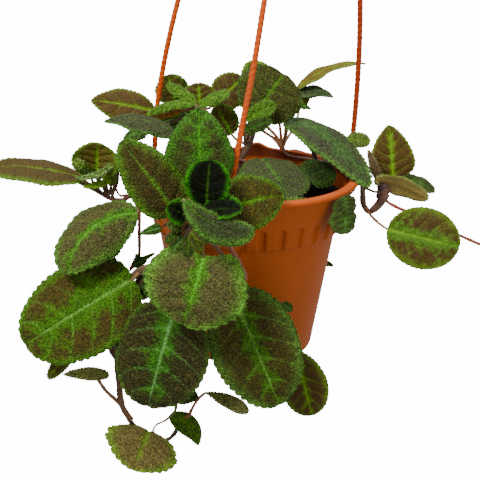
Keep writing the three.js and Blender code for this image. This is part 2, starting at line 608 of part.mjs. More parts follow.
// The back plantlet stands behind the rim and hangs down the pot's back.
function backPlantlet() {
  const heart = [25, 83, -6];
  const over = [25.5, 79, -0.5];
  return joined([
    stem(1.2, [...root(4, 1), [52, 38, -6], [53, 41, -1.8], [43, 52, -1.8], [31, 60, -1.8], [27, 62.5, 0.6],
      [26, 67, 2.6], [25.5, 73, 2.5], over, heart]),
    stem(1, [over, [29, 80, 6], [33.5, 84, 13], [37, 87, 25], [37, 88, 42]]),
    stem(1, [over, [20, 76, 6], [15, 68, 14], [10, 56, 19]]),
    stem(1.2, [over, [27, 77, 7], [27.5, 68, 17], [27, 58, 23]]),
    leaf({ base: [33, 88, 39], tip: [85, 88, 61], width: 24, face: [-0.3, -0.15, 0.95], arch: 0.13,
      droop: 0.1, taper: 0.6, point: 1.6 }, [[36, 88, 34]], 1),
    leaf({ base: [37, 88, 27], tip: [47, 88, 43], width: 11, face: [-0.6, -0.7, 0.4], droop: 0.2, rows: 4 },
      [[36, 87, 24]], 1),
    leaf({ base: [36, 84, 40], tip: [62, 80, 37], width: 15, face: [0.1, -0.5, 0.85], arch: 0.16,
      droop: 0.3, taper: 0.7, point: 1.3, rows: 8 }, [[37, 86, 34]], 1),
    leaf({ base: [34, 84, 30], tip: [46, 82, 27.5], width: 8, face: [0.1, -0.4, 0.9], droop: 0.3,
      taper: 0.8, point: 1.3, rows: 4 }, [[36, 86, 27]], 0.9),
    leaf({ base: [10, 94, -20], tip: [5, 100, -75], width: 44, face: [0, 1, 0.1], arch: 0.08 },
      [heart, [16, 90, -9]], 1.5),
    leaf({ base: [32, 90, -18], tip: [44, 90, -62], width: 34, face: [0.2, 1, 0.1], arch: 0.08 },
      [heart, [29, 87, -10]], 1.4),
    leaf({ base: [-22, 88, -9], tip: [-48, 92, -48], width: 36, face: [-0.2, 1, 0.2], arch: 0.1 },
      [heart, [2, 86, -4]], 1.4),
    leaf({ base: [46, 76, -6], tip: [76, 78, -28], width: 28, face: [0.3, 0.6, 0.7], arch: 0.06 },
      [heart, [36, 81, -4]], 1.3),
    leaf({ base: [56, 72, -88], tip: [66.5, 68, -90.5], width: 5, face: [0.2, -0.8, 0.6], rows: 4 },
      [heart, [28, 84, -30], [36, 80, -66]], 0.9),
  ]);
}

// The right shoot sends one long leaf forward over the rim.
function rightShoot() {
  const neck = [46, 30, 8];
  return joined([
    stem(1.7, [...root(5), neck]),
    leaf({ base: [26.5, 46, 25.4], tip: [82, -20, -2.4], width: 31, face: [0.2, -0.5, 0.85], arch: 0.11,
      droop: 0.3, rows: 12 }, [neck, [36, 41, 17]], 1.5),
    leaf({ base: [68, 13.5, 20.5], tip: [84, 13.5, 18.5], width: 12, face: [0, -0.9, 0.45], arch: 0.05,
      droop: 0.2, taper: 1, rows: 6 }, [neck, [58, 22, 12]], 1),
  ]);
}

// The right plantlet hangs beside the rim, with a long runner to the right.
function rightPlantlet() {
  const fork = [79, -6, -20];
  const heart = [93, 2, -10];
  return joined([
    stem(1.8, [...root(6, 1), [54, 34, -2], [60, 39, 4], [66, 43, 3], [76, 30, -4], [80, 10, -8], fork,
      [83, -8, -23.5], [89, -6, -20], [93, -2, -15], heart]),
    leaf({ base: [98, 10, -4], tip: [95.5, 14, 31.5], width: 30, face: [0.05, -1, 0.2], arch: 0.05,
      fold: 0.12, taper: 0.7, point: 1.15, droop: 0.1 }, [heart, [96, 6, -8]], 1.2),
    leaf({ base: [90, -3, -3], tip: [122.5, -6, -14], width: 23, face: [0.1, 0.75, 0.65], arch: 0.06,
      droop: 0.2 }, [heart], 1.2),
    leaf({ base: [105, 16, -6], tip: [130, 12, -14], width: 15, face: [0.2, -0.6, 0.8], droop: 0.3,
      rows: 8 }, [heart, [98, 9, -8]], 1.1),
    leaf({ base: [90, 3, -6], tip: [81, 5, 16.5], width: 10, face: [-0.3, -0.8, 0.5], droop: 0.3,
      rows: 6 }, [heart], 1.4),
    leaf({ base: [96, -14, -33], tip: [144, -20, -41], width: 40, face: [0.05, -1, 0.25], arch: 0.04,
      fold: 0.08, droop: 0.15, taper: 0.95 }, [[83, -8, -23.5], [87, -10, -30]], 1),
    leaf({ base: [62, -48, -3], tip: [64.5, -49.5, -16], width: 20, face: [0.62, -0.78, 0.05],
      arch: 0.03, fold: 0.05, droop: 0.15, rows: 4 }, [[79, 6, -12], [77, -6, -10], [74.5, -20, -9],
      [67.5, -36, -7]], 0.9),
    leaf({ base: [61, -50, -11], tip: [62, -53, -28], width: 20, face: [0.6, -0.78, 0.1],
      arch: 0.04, fold: 0.05, rows: 6 }, [[64.5, -46, -6]], 1),
    bud([94, 3, -8], [4, 4, 5]),
    stem(0.9, [[93, -1, -15], [96, -3, -18], [107, -6, -23], [126, -8, -30.5], [146, -10, -39],
      [166, -12, -47]]),
  ]);
}

// Two broad leaves lie inside the rim, just above the soil.
function innerLeafLeft() {
  return leaf({ base: [9, 6, 8], tip: [26.5, -45, -5], width: 44, face: [0.1, -0.35, 0.93], arch: 0.05 },
    [...root(7), [12, 11, 2]], 1.3);
}

function innerLeafRight() {
  return leaf({ base: [38, -8, -1], tip: [58, 10, 2], width: 25, face: [0.1, -0.6, 0.8], arch: 0.05,
    rows: 8 }, [...root(8, 1), [34, -6, -6]], 1.1);
}

// The finished pieces, each with its colour
const PIECES = [
  ['pot', pot, POT_ORANGE, 0.55],
  ['soil', soil, SOIL_BLACK, 1],
  ['hanger_strand_front', () => strand('front'), STRAND_ORANGE, 0.45],
  ['hanger_strand_left', () => strand('left'), STRAND_ORANGE, 0.45],
  ['hanger_strand_right', () => strand('right'), STRAND_ORANGE, 0.45],
  ['hanger_hook', hangerHook, STRAND_ORANGE, 0.45],
  ['front_crown', frontCrown, LEAF_GREEN, 0.8],
  ['left_plantlet', leftPlantlet, LEAF_GREEN, 0.8],
  ['middle_rosettes', middleRosettes, LEAF_GREEN, 0.8],
  ['back_plantlet', backPlantlet, LEAF_GREEN, 0.8],
  ['right_shoot', rightShoot, LEAF_GREEN, 0.8],
  ['right_plantlet', rightPlantlet, LEAF_GREEN, 0.8],
  ['inner_leaf_left', innerLeafLeft, LEAF_GREEN, 0.8],
  ['inner_leaf_right', innerLeafRight, LEAF_GREEN, 0.8],
];

const violet = new THREE.Group();
violet.position.copy(HOOK_POINT).negate();
for (const [name, make, color, roughness] of PIECES) {
  const material = new THREE.MeshStandardMaterial({ color, roughness, metalness: 0 });
  const mesh = new THREE.Mesh(geometryOf(make()), material);
  mesh.name = name;
  violet.add(mesh);
}

const potted = new THREE.Group();
potted.add(violet);
export default potted;
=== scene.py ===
import math

import bpy
import numpy as np
from mathutils import Matrix, Vector


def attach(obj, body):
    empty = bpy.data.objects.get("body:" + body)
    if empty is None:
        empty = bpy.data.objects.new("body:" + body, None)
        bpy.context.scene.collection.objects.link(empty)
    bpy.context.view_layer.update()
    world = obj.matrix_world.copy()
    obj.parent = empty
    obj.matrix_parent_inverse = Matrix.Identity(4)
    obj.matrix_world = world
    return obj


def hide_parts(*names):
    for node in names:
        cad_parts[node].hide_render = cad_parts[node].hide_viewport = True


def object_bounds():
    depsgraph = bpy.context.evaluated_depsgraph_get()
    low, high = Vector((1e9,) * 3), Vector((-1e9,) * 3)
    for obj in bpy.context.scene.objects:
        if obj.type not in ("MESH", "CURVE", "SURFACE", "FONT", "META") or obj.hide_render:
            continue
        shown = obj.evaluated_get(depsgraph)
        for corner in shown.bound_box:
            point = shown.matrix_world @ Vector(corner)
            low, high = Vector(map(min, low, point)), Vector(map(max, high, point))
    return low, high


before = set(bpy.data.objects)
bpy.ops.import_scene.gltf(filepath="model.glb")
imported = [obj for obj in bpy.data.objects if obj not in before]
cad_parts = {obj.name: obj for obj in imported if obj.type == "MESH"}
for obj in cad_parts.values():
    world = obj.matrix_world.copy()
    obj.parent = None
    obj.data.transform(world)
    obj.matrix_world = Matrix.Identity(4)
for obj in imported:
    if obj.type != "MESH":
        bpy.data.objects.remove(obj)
cad_low, cad_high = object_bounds()

MM = 0.001
HOOK_POINT = np.array([50.0, -5.0, 430.0])

# Camera, fitted to the pot's rim, collar and sides in the photograph: millimetres, clipping in metres
CAMERA_PLACE = np.array([0.0, -773.0, 207.0])
CAMERA_TARGET = np.array([-4.7, 0.0, -48.5])
CAMERA_ROLL = math.radians(1.0)
CAMERA_LENS = 87.75
SENSOR_WIDTH = 36.0
CLIP_NEAR, CLIP_FAR = 0.05, 200

# Pot sizes in millimetres. Heights count from the plane of the rim's top.
RIM_RADIUS = 76.0
RIM_INNER_RADIUS = 69.6
LIP_HEIGHT = 3.4
COLLAR_TOP_RADIUS = 72.5
COLLAR_FOOT_RADIUS = 64.0
COLLAR_FOOT_Z = -35.6
BODY_TOP_RADIUS = 61.0
BASE_RADIUS = 46.5
BASE_Z = -123.0
WALL = 2.0
FLOOR = 2.5
BASE_ROUND = 4.0
FLUTES = 32
FLUTE_WIDTH = 5.0
FLUTE_HEIGHT = 14.8
FLUTE_DEPTH = 2.2
FIRST_FLUTE_ANGLE = 8.3
HUMP_ANGLE = 175.0
HUMP_HEIGHT = 4.0
HUMP_WIDTH = 21.0
SOIL_TOP_Z = -14.5
SOIL_CROWN = 1.5

# Hanger sizes in millimetres, and the strands' angles in degrees round the pot from its front
STRAND_RADIUS = 1.85
STRAND_CIRCLE = 72.4
STRAND_ANGLES = {"front": -9.0, "left": -113.0, "right": 106.0}
STRAND_PLY_PITCH = 8.0
SOCKET_DEPTH = 2.4
HUB_RADIUS = 8.5
HUB_HEIGHT = 9.0
HUB_SOCKET_CIRCLE = 5.0
HOOK_INNER_RADIUS = 9.0
HOOK_WIDTH = 4.2
HOOK_THICKNESS = 4.0


def srgb(red, green, blue):
    """A colour written as it looks on a screen, 0 to 255, as linear light."""
    value = np.array([red, green, blue], float) / 255
    return np.where(value <= 0.04045, value / 12.92, ((value + 0.055) / 1.055) ** 2.4)


def unit(vector):
    vector = np.asarray(vector, float)
    return vector / np.linalg.norm(vector, axis=-1, keepdims=True)


def smoothstep(low, high, value):
    share = np.clip((value - low) / (high - low), 0, 1)
    return share * share * (3 - 2 * share)


def mix(first, second, share):
    share = np.asarray(share)[..., None]
    return first * (1 - share) + second * share


def around(angle, radius, z):
    """A point round the pot's axis: 0 degrees faces the front, and angles grow towards the right."""
    turn = math.radians(angle)
    return np.array([radius * math.sin(turn), -radius * math.cos(turn), z])


# Noise on a plane, made from seeded random numbers
def lattice(ix, iy, seed):
    mixed = (ix * 374761393 + iy * 668265263 + seed * 1442695041) & 0x7FFFFFFF
    mixed = ((mixed ^ (mixed >> 13)) * 1274126177) & 0x7FFFFFFF
    return ((mixed ^ (mixed >> 16)) & 0xFFFF) / 65535.0


def soft_noise(x, y, seed):
    """Smooth noise from 0 to 1, with one bump to a unit."""
    ix, iy = np.floor(x).astype(np.int64), np.floor(y).astype(np.int64)
    fx, fy = x - ix, y - iy
    fx, fy = fx * fx * (3 - 2 * fx), fy * fy * (3 - 2 * fy)
    low = lattice(ix, iy, seed) * (1 - fx) + lattice(ix + 1, iy, seed) * fx
    high = lattice(ix, iy + 1, seed) * (1 - fx) + lattice(ix + 1, iy + 1, seed) * fx
    return low * (1 - fy) + high * fy


def cells(x, y, seed):
    """Distances to the nearest and second nearest of scattered points, and a number for the nearest."""
    ix, iy = np.floor(x).astype(np.int64), np.floor(y).astype(np.int64)
    nearest = np.full(x.shape, 9.0)
    second = np.full(x.shape, 9.0)
    number = np.zeros(x.shape)
    for dx in (-1, 0, 1):
        for dy in (-1, 0, 1):
            px = ix + dx + lattice(ix + dx, iy + dy, seed)
            py = iy + dy + lattice(ix + dx, iy + dy, seed + 7)
            gap = np.hypot(px - x, py - y)
            number = np.where(gap < nearest, lattice(ix + dx, iy + dy, seed + 13), number)
            second = np.minimum(second, np.maximum(nearest, gap))
            nearest = np.minimum(nearest, gap)
    return nearest, second, number


# Meshes are gathered as arrays of points, triangles, colours and material numbers
class Gather:
    def __init__(self):
        self.points = []
        self.triangles = []
        self.colours = []
        self.kinds = []
        self.count = 0

    def add(self, points, triangles, colours, kind=0):
        points = np.asarray(points, float).reshape(-1, 3)
        triangles = np.asarray(triangles, np.int64).reshape(-1, 3)
        colours = np.broadcast_to(np.asarray(colours, float), (len(points), 3))
        self.points.append(points)
        self.triangles.append(triangles + self.count)
        self.colours.append(colours)
        self.kinds.append(np.full(len(triangles), kind))
        self.count += len(points)

    def build(self, name, materials, nodes):
        points = (np.concatenate(self.points) - HOOK_POINT) * MM
        triangles = np.concatenate(self.triangles)
        colours = np.concatenate(self.colours)
        kinds = np.concatenate(self.kinds)
        mesh = bpy.data.meshes.new(name)
        mesh.vertices.add(len(points))
        mesh.vertices.foreach_set("co", points.astype(np.float32).ravel())
        mesh.loops.add(3 * len(triangles))
        mesh.loops.foreach_set("vertex_index", triangles.astype(np.int32).ravel())
        mesh.polygons.add(len(triangles))
        mesh.polygons.foreach_set("loop_start", np.arange(0, 3 * len(triangles), 3, dtype=np.int32))
        mesh.polygons.foreach_set("material_index", kinds.astype(np.int32))
        mesh.update(calc_edges=True)
        mesh.validate()
        mesh.polygons.foreach_set("use_smooth", np.ones(len(mesh.polygons), bool))
        tint = mesh.color_attributes.new("tint", "FLOAT_COLOR", "POINT")
        rgba = np.concatenate([colours, np.ones((len(colours), 1))], axis=1)
        tint.data.foreach_set("color", rgba.astype(np.float32).ravel())
        for material in materials:
            mesh.materials.append(material)
        piece = bpy.data.objects.new(name, mesh)
        bpy.context.scene.collection.objects.link(piece)
        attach(piece, "root")
        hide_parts(*nodes)


# Materials
MIX_FACTOR, MIX_FIRST, MIX_SECOND, MIX_RESULT = 0, 6, 7, 2
DOWN_TINT = srgb(124, 146, 60)
SPECK_TINT = srgb(60, 34, 20)


class Skin:
    """A material in the making, built on the shader that a new material comes with."""

    def __init__(self, name):
        self.material = bpy.data.materials.new(name)
        self.material.use_nodes = True
        self.nodes = self.material.node_tree.nodes
        self.shader = self.nodes["Principled BSDF"]

    def put(self, socket, value):
        """A socket takes a plain value or another node's output."""
        if isinstance(value, bpy.types.NodeSocket):
            self.material.node_tree.links.new(value, socket)
        else:
            socket.default_value = value

    def node(self, kind, sockets, **settings):
        """A new node with its settings, and with values or other nodes' outputs for its sockets."""
        made = self.nodes.new(kind)
        for key, value in settings.items():
            setattr(made, key, value)
        for key, value in sockets.items():
            self.put(made.inputs[key], value)
        return made

    def tint(self):
        """The colour that the mesh carries."""
        return self.node("ShaderNodeVertexColor", {}, layer_name="tint").outputs["Color"]

    def place(self):
        return self.node("ShaderNodeTexCoord", {}).outputs["Object"]

    def noise(self, scale, detail, roughness=0.5):
        sockets = {"Vector": self.place(), "Scale": scale, "Detail": detail, "Roughness": roughness}
        return self.node("ShaderNodeTexNoise", sockets).outputs["Fac"]

    def pebbles(self, scale):
        """The distance to the nearest of scattered points."""
        sockets = {"Vector": self.place(), "Scale": scale}
        return self.node("ShaderNodeTexVoronoi", sockets, feature="F1").outputs["Distance"]

    def ramp(self, source, *stops):
        """A value turned into greys or colours. Each stop is a place from 0 to 1 and its grey or colour."""
        made = self.node("ShaderNodeValToRGB", {"Fac": source})
        elements = made.color_ramp.elements
        while len(elements) < len(stops):
            elements.new(0.5)
        for element, (place, colour) in zip(elements, stops):
            element.position = place
            element.color = (*np.broadcast_to(colour, 3), 1)
        return made.outputs["Color"]

    def blend(self, way, share, first, second):
        sockets = {MIX_FACTOR: share, MIX_FIRST: first, MIX_SECOND: second}
        return self.node("ShaderNodeMix", sockets, data_type="RGBA", blend_type=way).outputs[MIX_RESULT]

    def multiply(self, first, second):
        return self.blend("MULTIPLY", 1.0, first, second)

    def bump(self, height, strength, distance):
        """Relief in the shading alone. The distance is in metres."""
        sockets = {"Height": height, "Strength": strength, "Distance": distance}
        return self.node("ShaderNodeBump", sockets).outputs["Normal"]

    def finish(self, sockets):
        """Fills the shader's own sockets and gives the material."""
        for key, value in sockets.items():
            self.put(self.shader.inputs[key], value)
        return self.material


# Patterns are scaled in cells to a metre: 760 makes cells of about 1.3 mm
def leaf_material(name, grain, bloom, bump, sheen, shine):
    """Leaf skin: the tint from the mesh, broken by a net of fine veins with painted highlights on the
    pebbles' tops and painted shade in their seams, speckles and a hairy bloom.
    """
    skin = Skin(name)
    net = skin.pebbles(760.0)
    patch = skin.noise(620.0, 3.0, 0.7)
    # Lighter pebble centres and darker seams: the vein net's colour with painted highlight and painted shade
    vein_net_and_painted_light = skin.ramp(net, (0.1, 1 + 0.5 * grain), (0.45, 1.0), (0.8, 1 - 0.6 * grain))
    patch_tone = skin.ramp(patch, (0.32, 1 - 0.5 * grain), (0.5, 1.0), (0.68, 1 + 0.55 * grain))
    bloom_share = skin.ramp(skin.noise(1300.0, 2.0, 0.6), (0.52, 0.0), (0.7, bloom))
    patched = skin.multiply(skin.multiply(skin.tint(), vein_net_and_painted_light), patch_tone)
    relief = skin.node("ShaderNodeMath", {0: patch, 1: net}, operation="SUBTRACT").outputs[0]
    return skin.finish({
        "Base Color": skin.blend("MIX", bloom_share, patched, (*DOWN_TINT, 1)),
        "Normal": skin.bump(relief, bump, 0.0011),
        "Roughness": 0.6,
        "Specular IOR Level": shine,
        "Sheen Weight": sheen,
        "Sheen Roughness": 0.5,
        "Sheen Tint": (*DOWN_TINT, 1),
    })


def streaked_material(name, scale, detail, dark, pale, bump, depth, sockets):
    """The tint from the mesh with fine streaks in its tone and relief."""
    skin = Skin(name)
    streak = skin.noise(scale, detail)
    tone = skin.ramp(streak, (0.3, dark), (0.7, pale))
    return skin.finish({
        "Base Color": skin.multiply(skin.tint(), tone),
        "Normal": skin.bump(streak, bump, depth),
        **sockets,
    })


def hair_material():
    skin = Skin("leaf_hair")
    return skin.finish({"Base Color": skin.tint(), "Roughness": 0.5, "Specular IOR Level": 0.4})


def pot_material():
    """Moulded plastic: a warm orange with faint clouds, small dark specks and a fine satin grain."""
    skin = Skin("pot_plastic")
    clouds = skin.ramp(skin.noise(22.0, 4.0), (0.3, 0.9), (0.7, 1.1))
    specks = skin.ramp(skin.pebbles(150.0), (0.0, 0.8), (0.055, 0.5), (0.09, 0.0))
    rare = skin.ramp(skin.noise(60.0, 1.0), (0.5, 0.0), (0.6, 1.0))
    body = skin.multiply(skin.tint(), clouds)
    return skin.finish({
        "Base Color": skin.blend("MIX", skin.multiply(specks, rare), body, (*SPECK_TINT, 1)),
        "Normal": skin.bump(skin.noise(1800.0, 2.0), 0.12, 0.0003),
        "Roughness": 0.5,
        "Specular IOR Level": 0.2,
    })


def soil_material():
    skin = Skin("soil")
    clod = skin.noise(420.0, 6.0, 0.7)
    tones = skin.ramp(clod, (0.3, srgb(6, 5, 5)), (0.55, srgb(24, 18, 15)), (0.75, srgb(62, 46, 34)))
    return skin.finish({
        "Base Color": tones,
        "Normal": skin.bump(clod, 0.9, 0.0015),
        "Roughness": 0.95,
        "Specular IOR Level": 0.1,
    })


LEAF_SKIN = leaf_material("leaf_skin", grain=0.72, bloom=0.16, bump=0.9, sheen=0.01, shine=0.16)
LEAF_VELVET = leaf_material("leaf_velvet", grain=0.85, bloom=0.44, bump=0.9, sheen=0.05, shine=0.16)
LEAF_YOUNG = leaf_material("leaf_young", grain=0.6, bloom=0.03, bump=0.6, sheen=0.0, shine=0.08)
LEAF_SMOOTH = leaf_material("leaf_smooth", grain=0.3, bloom=0.1, bump=0.5, sheen=0.01, shine=0.16)
STEM_SKIN = streaked_material("hairy_stem", 900.0, 3.0, dark=0.6, pale=1.4, bump=0.5, depth=0.0004,
                              sockets={"Roughness": 0.65, "Sheen Weight": 0.25,
                                       "Sheen Tint": (*srgb(215, 190, 170), 1)})
HAIR = hair_material()
POT_PLASTIC = pot_material()
STRAND_PLASTIC = streaked_material("hanger_plastic", 700.0, 2.0, dark=0.85, pale=1.12, bump=0.2, depth=0.0003,
                                   sockets={"Roughness": 0.5, "Specular IOR Level": 0.25})
SOIL = soil_material()
PLANT_MATERIALS = [LEAF_SKIN, STEM_SKIN, HAIR, LEAF_VELVET, LEAF_YOUNG, LEAF_SMOOTH]
# The materials' places in that list
BLADE_KIND, STEM_KIND, HAIR_KIND, VELVET_KIND, YOUNG_KIND, SMOOTH_KIND = range(6)

# Leaf looks: ground between the veins, green round them, rib line, margin, net between the pebbles,
# underside and down; then how far the green flares from the midrib and how strongly it follows the side
# veins, the margin's width in millimetres, more or less green, the difference from pebble to pebble
# (mottle) and the material. A leaf's own "paint" changes single values.
LOOKS = {
    "olive": dict(ground=srgb(74, 64, 10), green=srgb(70, 112, 8), rib=srgb(100, 156, 26),
                  margin=srgb(78, 130, 24), net=srgb(40, 38, 6), under=srgb(104, 92, 34),
                  down=srgb(120, 156, 64), flare=0.08, lateral=0.24, rim=2.2, bias=-0.18, kind=BLADE_KIND),
    "patched": dict(ground=srgb(68, 54, 12), green=srgb(62, 114, 4), rib=srgb(122, 184, 70),
                    margin=srgb(66, 126, 14), net=srgb(112, 104, 40), under=srgb(104, 92, 34),
                    down=srgb(112, 158, 60), flare=0.3, lateral=0.7, rim=4.6, bias=0.02, kind=BLADE_KIND),
    "dark": dict(ground=srgb(36, 34, 8), green=srgb(42, 104, 4), rib=srgb(124, 186, 96),
                 margin=srgb(58, 100, 20), net=srgb(104, 96, 40), under=srgb(80, 70, 28),
                 down=srgb(100, 130, 64), flare=0.3, lateral=0.4, rim=2.4, bias=-0.12, kind=BLADE_KIND),
    "grey": dict(ground=srgb(84, 76, 40), green=srgb(66, 116, 18), rib=srgb(96, 184, 34),
                 margin=srgb(86, 148, 40), net=srgb(56, 52, 24), under=srgb(110, 104, 42),
                 down=srgb(140, 168, 90), flare=0.16, lateral=0.22, rim=4.0, bias=-0.14, kind=VELVET_KIND),
    "moss": dict(ground=srgb(52, 46, 10), green=srgb(50, 104, 10), rib=srgb(74, 168, 16),
                 margin=srgb(58, 122, 22), net=srgb(26, 34, 4), under=srgb(96, 88, 34),
                 down=srgb(110, 156, 64), flare=0.2, lateral=0.25, rim=6.0, bias=0.02, kind=VELVET_KIND),
    "young": dict(ground=srgb(8, 10, 2), green=srgb(22, 66, 2), rib=srgb(80, 128, 26),
                  margin=srgb(50, 136, 4), net=srgb(12, 18, 4), under=srgb(60, 90, 26),
                  down=srgb(96, 156, 44), flare=0.04, lateral=0.06, rim=1.9, bias=-0.3, kind=YOUNG_KIND),
    "brown": dict(ground=srgb(78, 58, 20), green=srgb(92, 120, 12), rib=srgb(124, 170, 26),
                  margin=srgb(98, 134, 22), net=srgb(64, 46, 12), under=srgb(112, 88, 36),
                  down=srgb(136, 148, 74), flare=0.1, lateral=0.5, rim=1.5, bias=-0.14, mottle=0.35,
                  kind=SMOOTH_KIND),
    "green": dict(ground=srgb(62, 84, 14), green=srgb(72, 120, 14), rib=srgb(108, 156, 34),
                  margin=srgb(88, 142, 30), net=srgb(40, 58, 8), under=srgb(96, 118, 48),
                  down=srgb(136, 166, 84), flare=0.4, lateral=0.4, rim=1.8, bias=0.05, kind=VELVET_KIND),
    "dusky": dict(ground=srgb(68, 68, 24), green=srgb(66, 104, 18), rib=srgb(84, 138, 24),
                  margin=srgb(66, 104, 30), net=srgb(30, 32, 8), under=srgb(98, 92, 40),
                  down=srgb(116, 138, 80), flare=0.08, lateral=0.4, rim=1.8, bias=-0.18, kind=VELVET_KIND),
    "banded": dict(ground=srgb(60, 60, 44), green=srgb(54, 92, 40), rib=srgb(84, 120, 52),
                   margin=srgb(84, 136, 44), net=srgb(44, 34, 18), under=srgb(98, 84, 44),
                   down=srgb(128, 150, 92), flare=0.42, lateral=0.1, rim=3.0, bias=-0.1, kind=VELVET_KIND),
}
STEM_BROWN = srgb(96, 66, 38)
STEM_DARK = srgb(66, 46, 34)
STEM_PINK = srgb(150, 84, 62)
STEM_TAN = srgb(150, 104, 62)
RUNNER_RED = srgb(142, 62, 34)
STEM_DRY = srgb(124, 84, 56)
STEM_PALE = srgb(150, 128, 96)
# Pale fawn stems, painted much lighter than their own colour as painted light, since they lie in shade
STEM_FAWN_AND_PAINTED_LIGHT = srgb(222, 168, 118)
STEM_RUST = srgb(136, 86, 44)
STEM_RUSSET = srgb(92, 50, 32)
STEM_MAUVE = srgb(64, 40, 38)
STEM_UMBER = srgb(88, 62, 38)

# Blades: sizes in millimetres. Steps, vein counts and pebble sizes are for a narrow and a wide blade.
GRID_STEPS, WIDE_FOR_GRID = (0.62, 0.75), 36
VEIN_COUNTS, PEBBLE_SIZES, WIDE_FOR_VEINS = (4.2, 5.4), (1.8, 2.2), 30
ROWS_PER_STEP = 1.35
COLUMNS_PER_STEP = 0.31
FEWEST_ROWS = 22
FEWEST_QUARTERS = 4
LOBE_PLACE = 0.08
EVEN_SHARE = 0.3
RIB_SOFTNESS = 0.8
TOOTH_ROUNDNESS = 0.6
TOOTH_LEVEL = 0.66
TOOTH_PITCH, TOOTH_PITCH_PER_WIDTH = 1.4, 0.065
EDGE_POWER = 7
RUFFLE, RUFFLE_PER_WIDTH, RUFFLE_WAVES = 0.2, 0.016, 2.3
RIB_DEPTH, VEIN_DEPTH, PEBBLE_HEIGHT, PILLOW_HEIGHT, ROUGH_HEIGHT = 0.95, 0.5, 0.7, 0.34, 0.9
SKIN_THICKNESS = 0.45
DEEPEST_DENT = -0.8
SKIN_LIFT = 0.35
USUAL_MOTTLE = 0.6
UNDER_RIB_TINT = srgb(128, 84, 44)

# What a leaf has where its own entry says nothing. Along the blade: arch towards its face, sweep to the
# side, taper (below 1 is broadest nearer the base) and point. Across it: fold, droop and the teeth's
# bite. Then the lobes at the base, more or less green, the rib's strength, tone, down and where the
# petiole meets the blade.
# Tone scales a blade's colours; on a few small leaves that lie in shade it is raised as painted light.
LEAF_DEFAULTS = dict(arch=0.1, sweep=0.0, taper=0.9, point=1.0, fold=0.1, droop=0.25, bite=0.26, lobe=0.0,
                     bias=0.0, rib=0.9, tone=1.0, fuzz=1.0, seat=0.0, petiole_colour=STEM_BROWN, paint={})


def blade_frame(shape):
    base = np.array(shape["base"], float)
    tip = np.array(shape["tip"], float)
    along = unit(tip - base)
    facing = np.array(shape["face"], float)
    facing = unit(facing - along * (facing @ along))
    return base, tip, facing, np.cross(along, facing)


def midrib(shape, u):
    """Points along a blade's arched midrib, for shares u of the way from its base to its tip."""
    base, tip, facing, sideways = blade_frame(shape)
    u = np.atleast_1d(np.asarray(u, float))[:, None]
    bow = 4 * u * (1 - u) * np.linalg.norm(tip - base)
    arch, sweep = shape["arch"], shape["sweep"]
    return base + (tip - base) * u + facing * (arch * bow) + sideways * (sweep * bow)


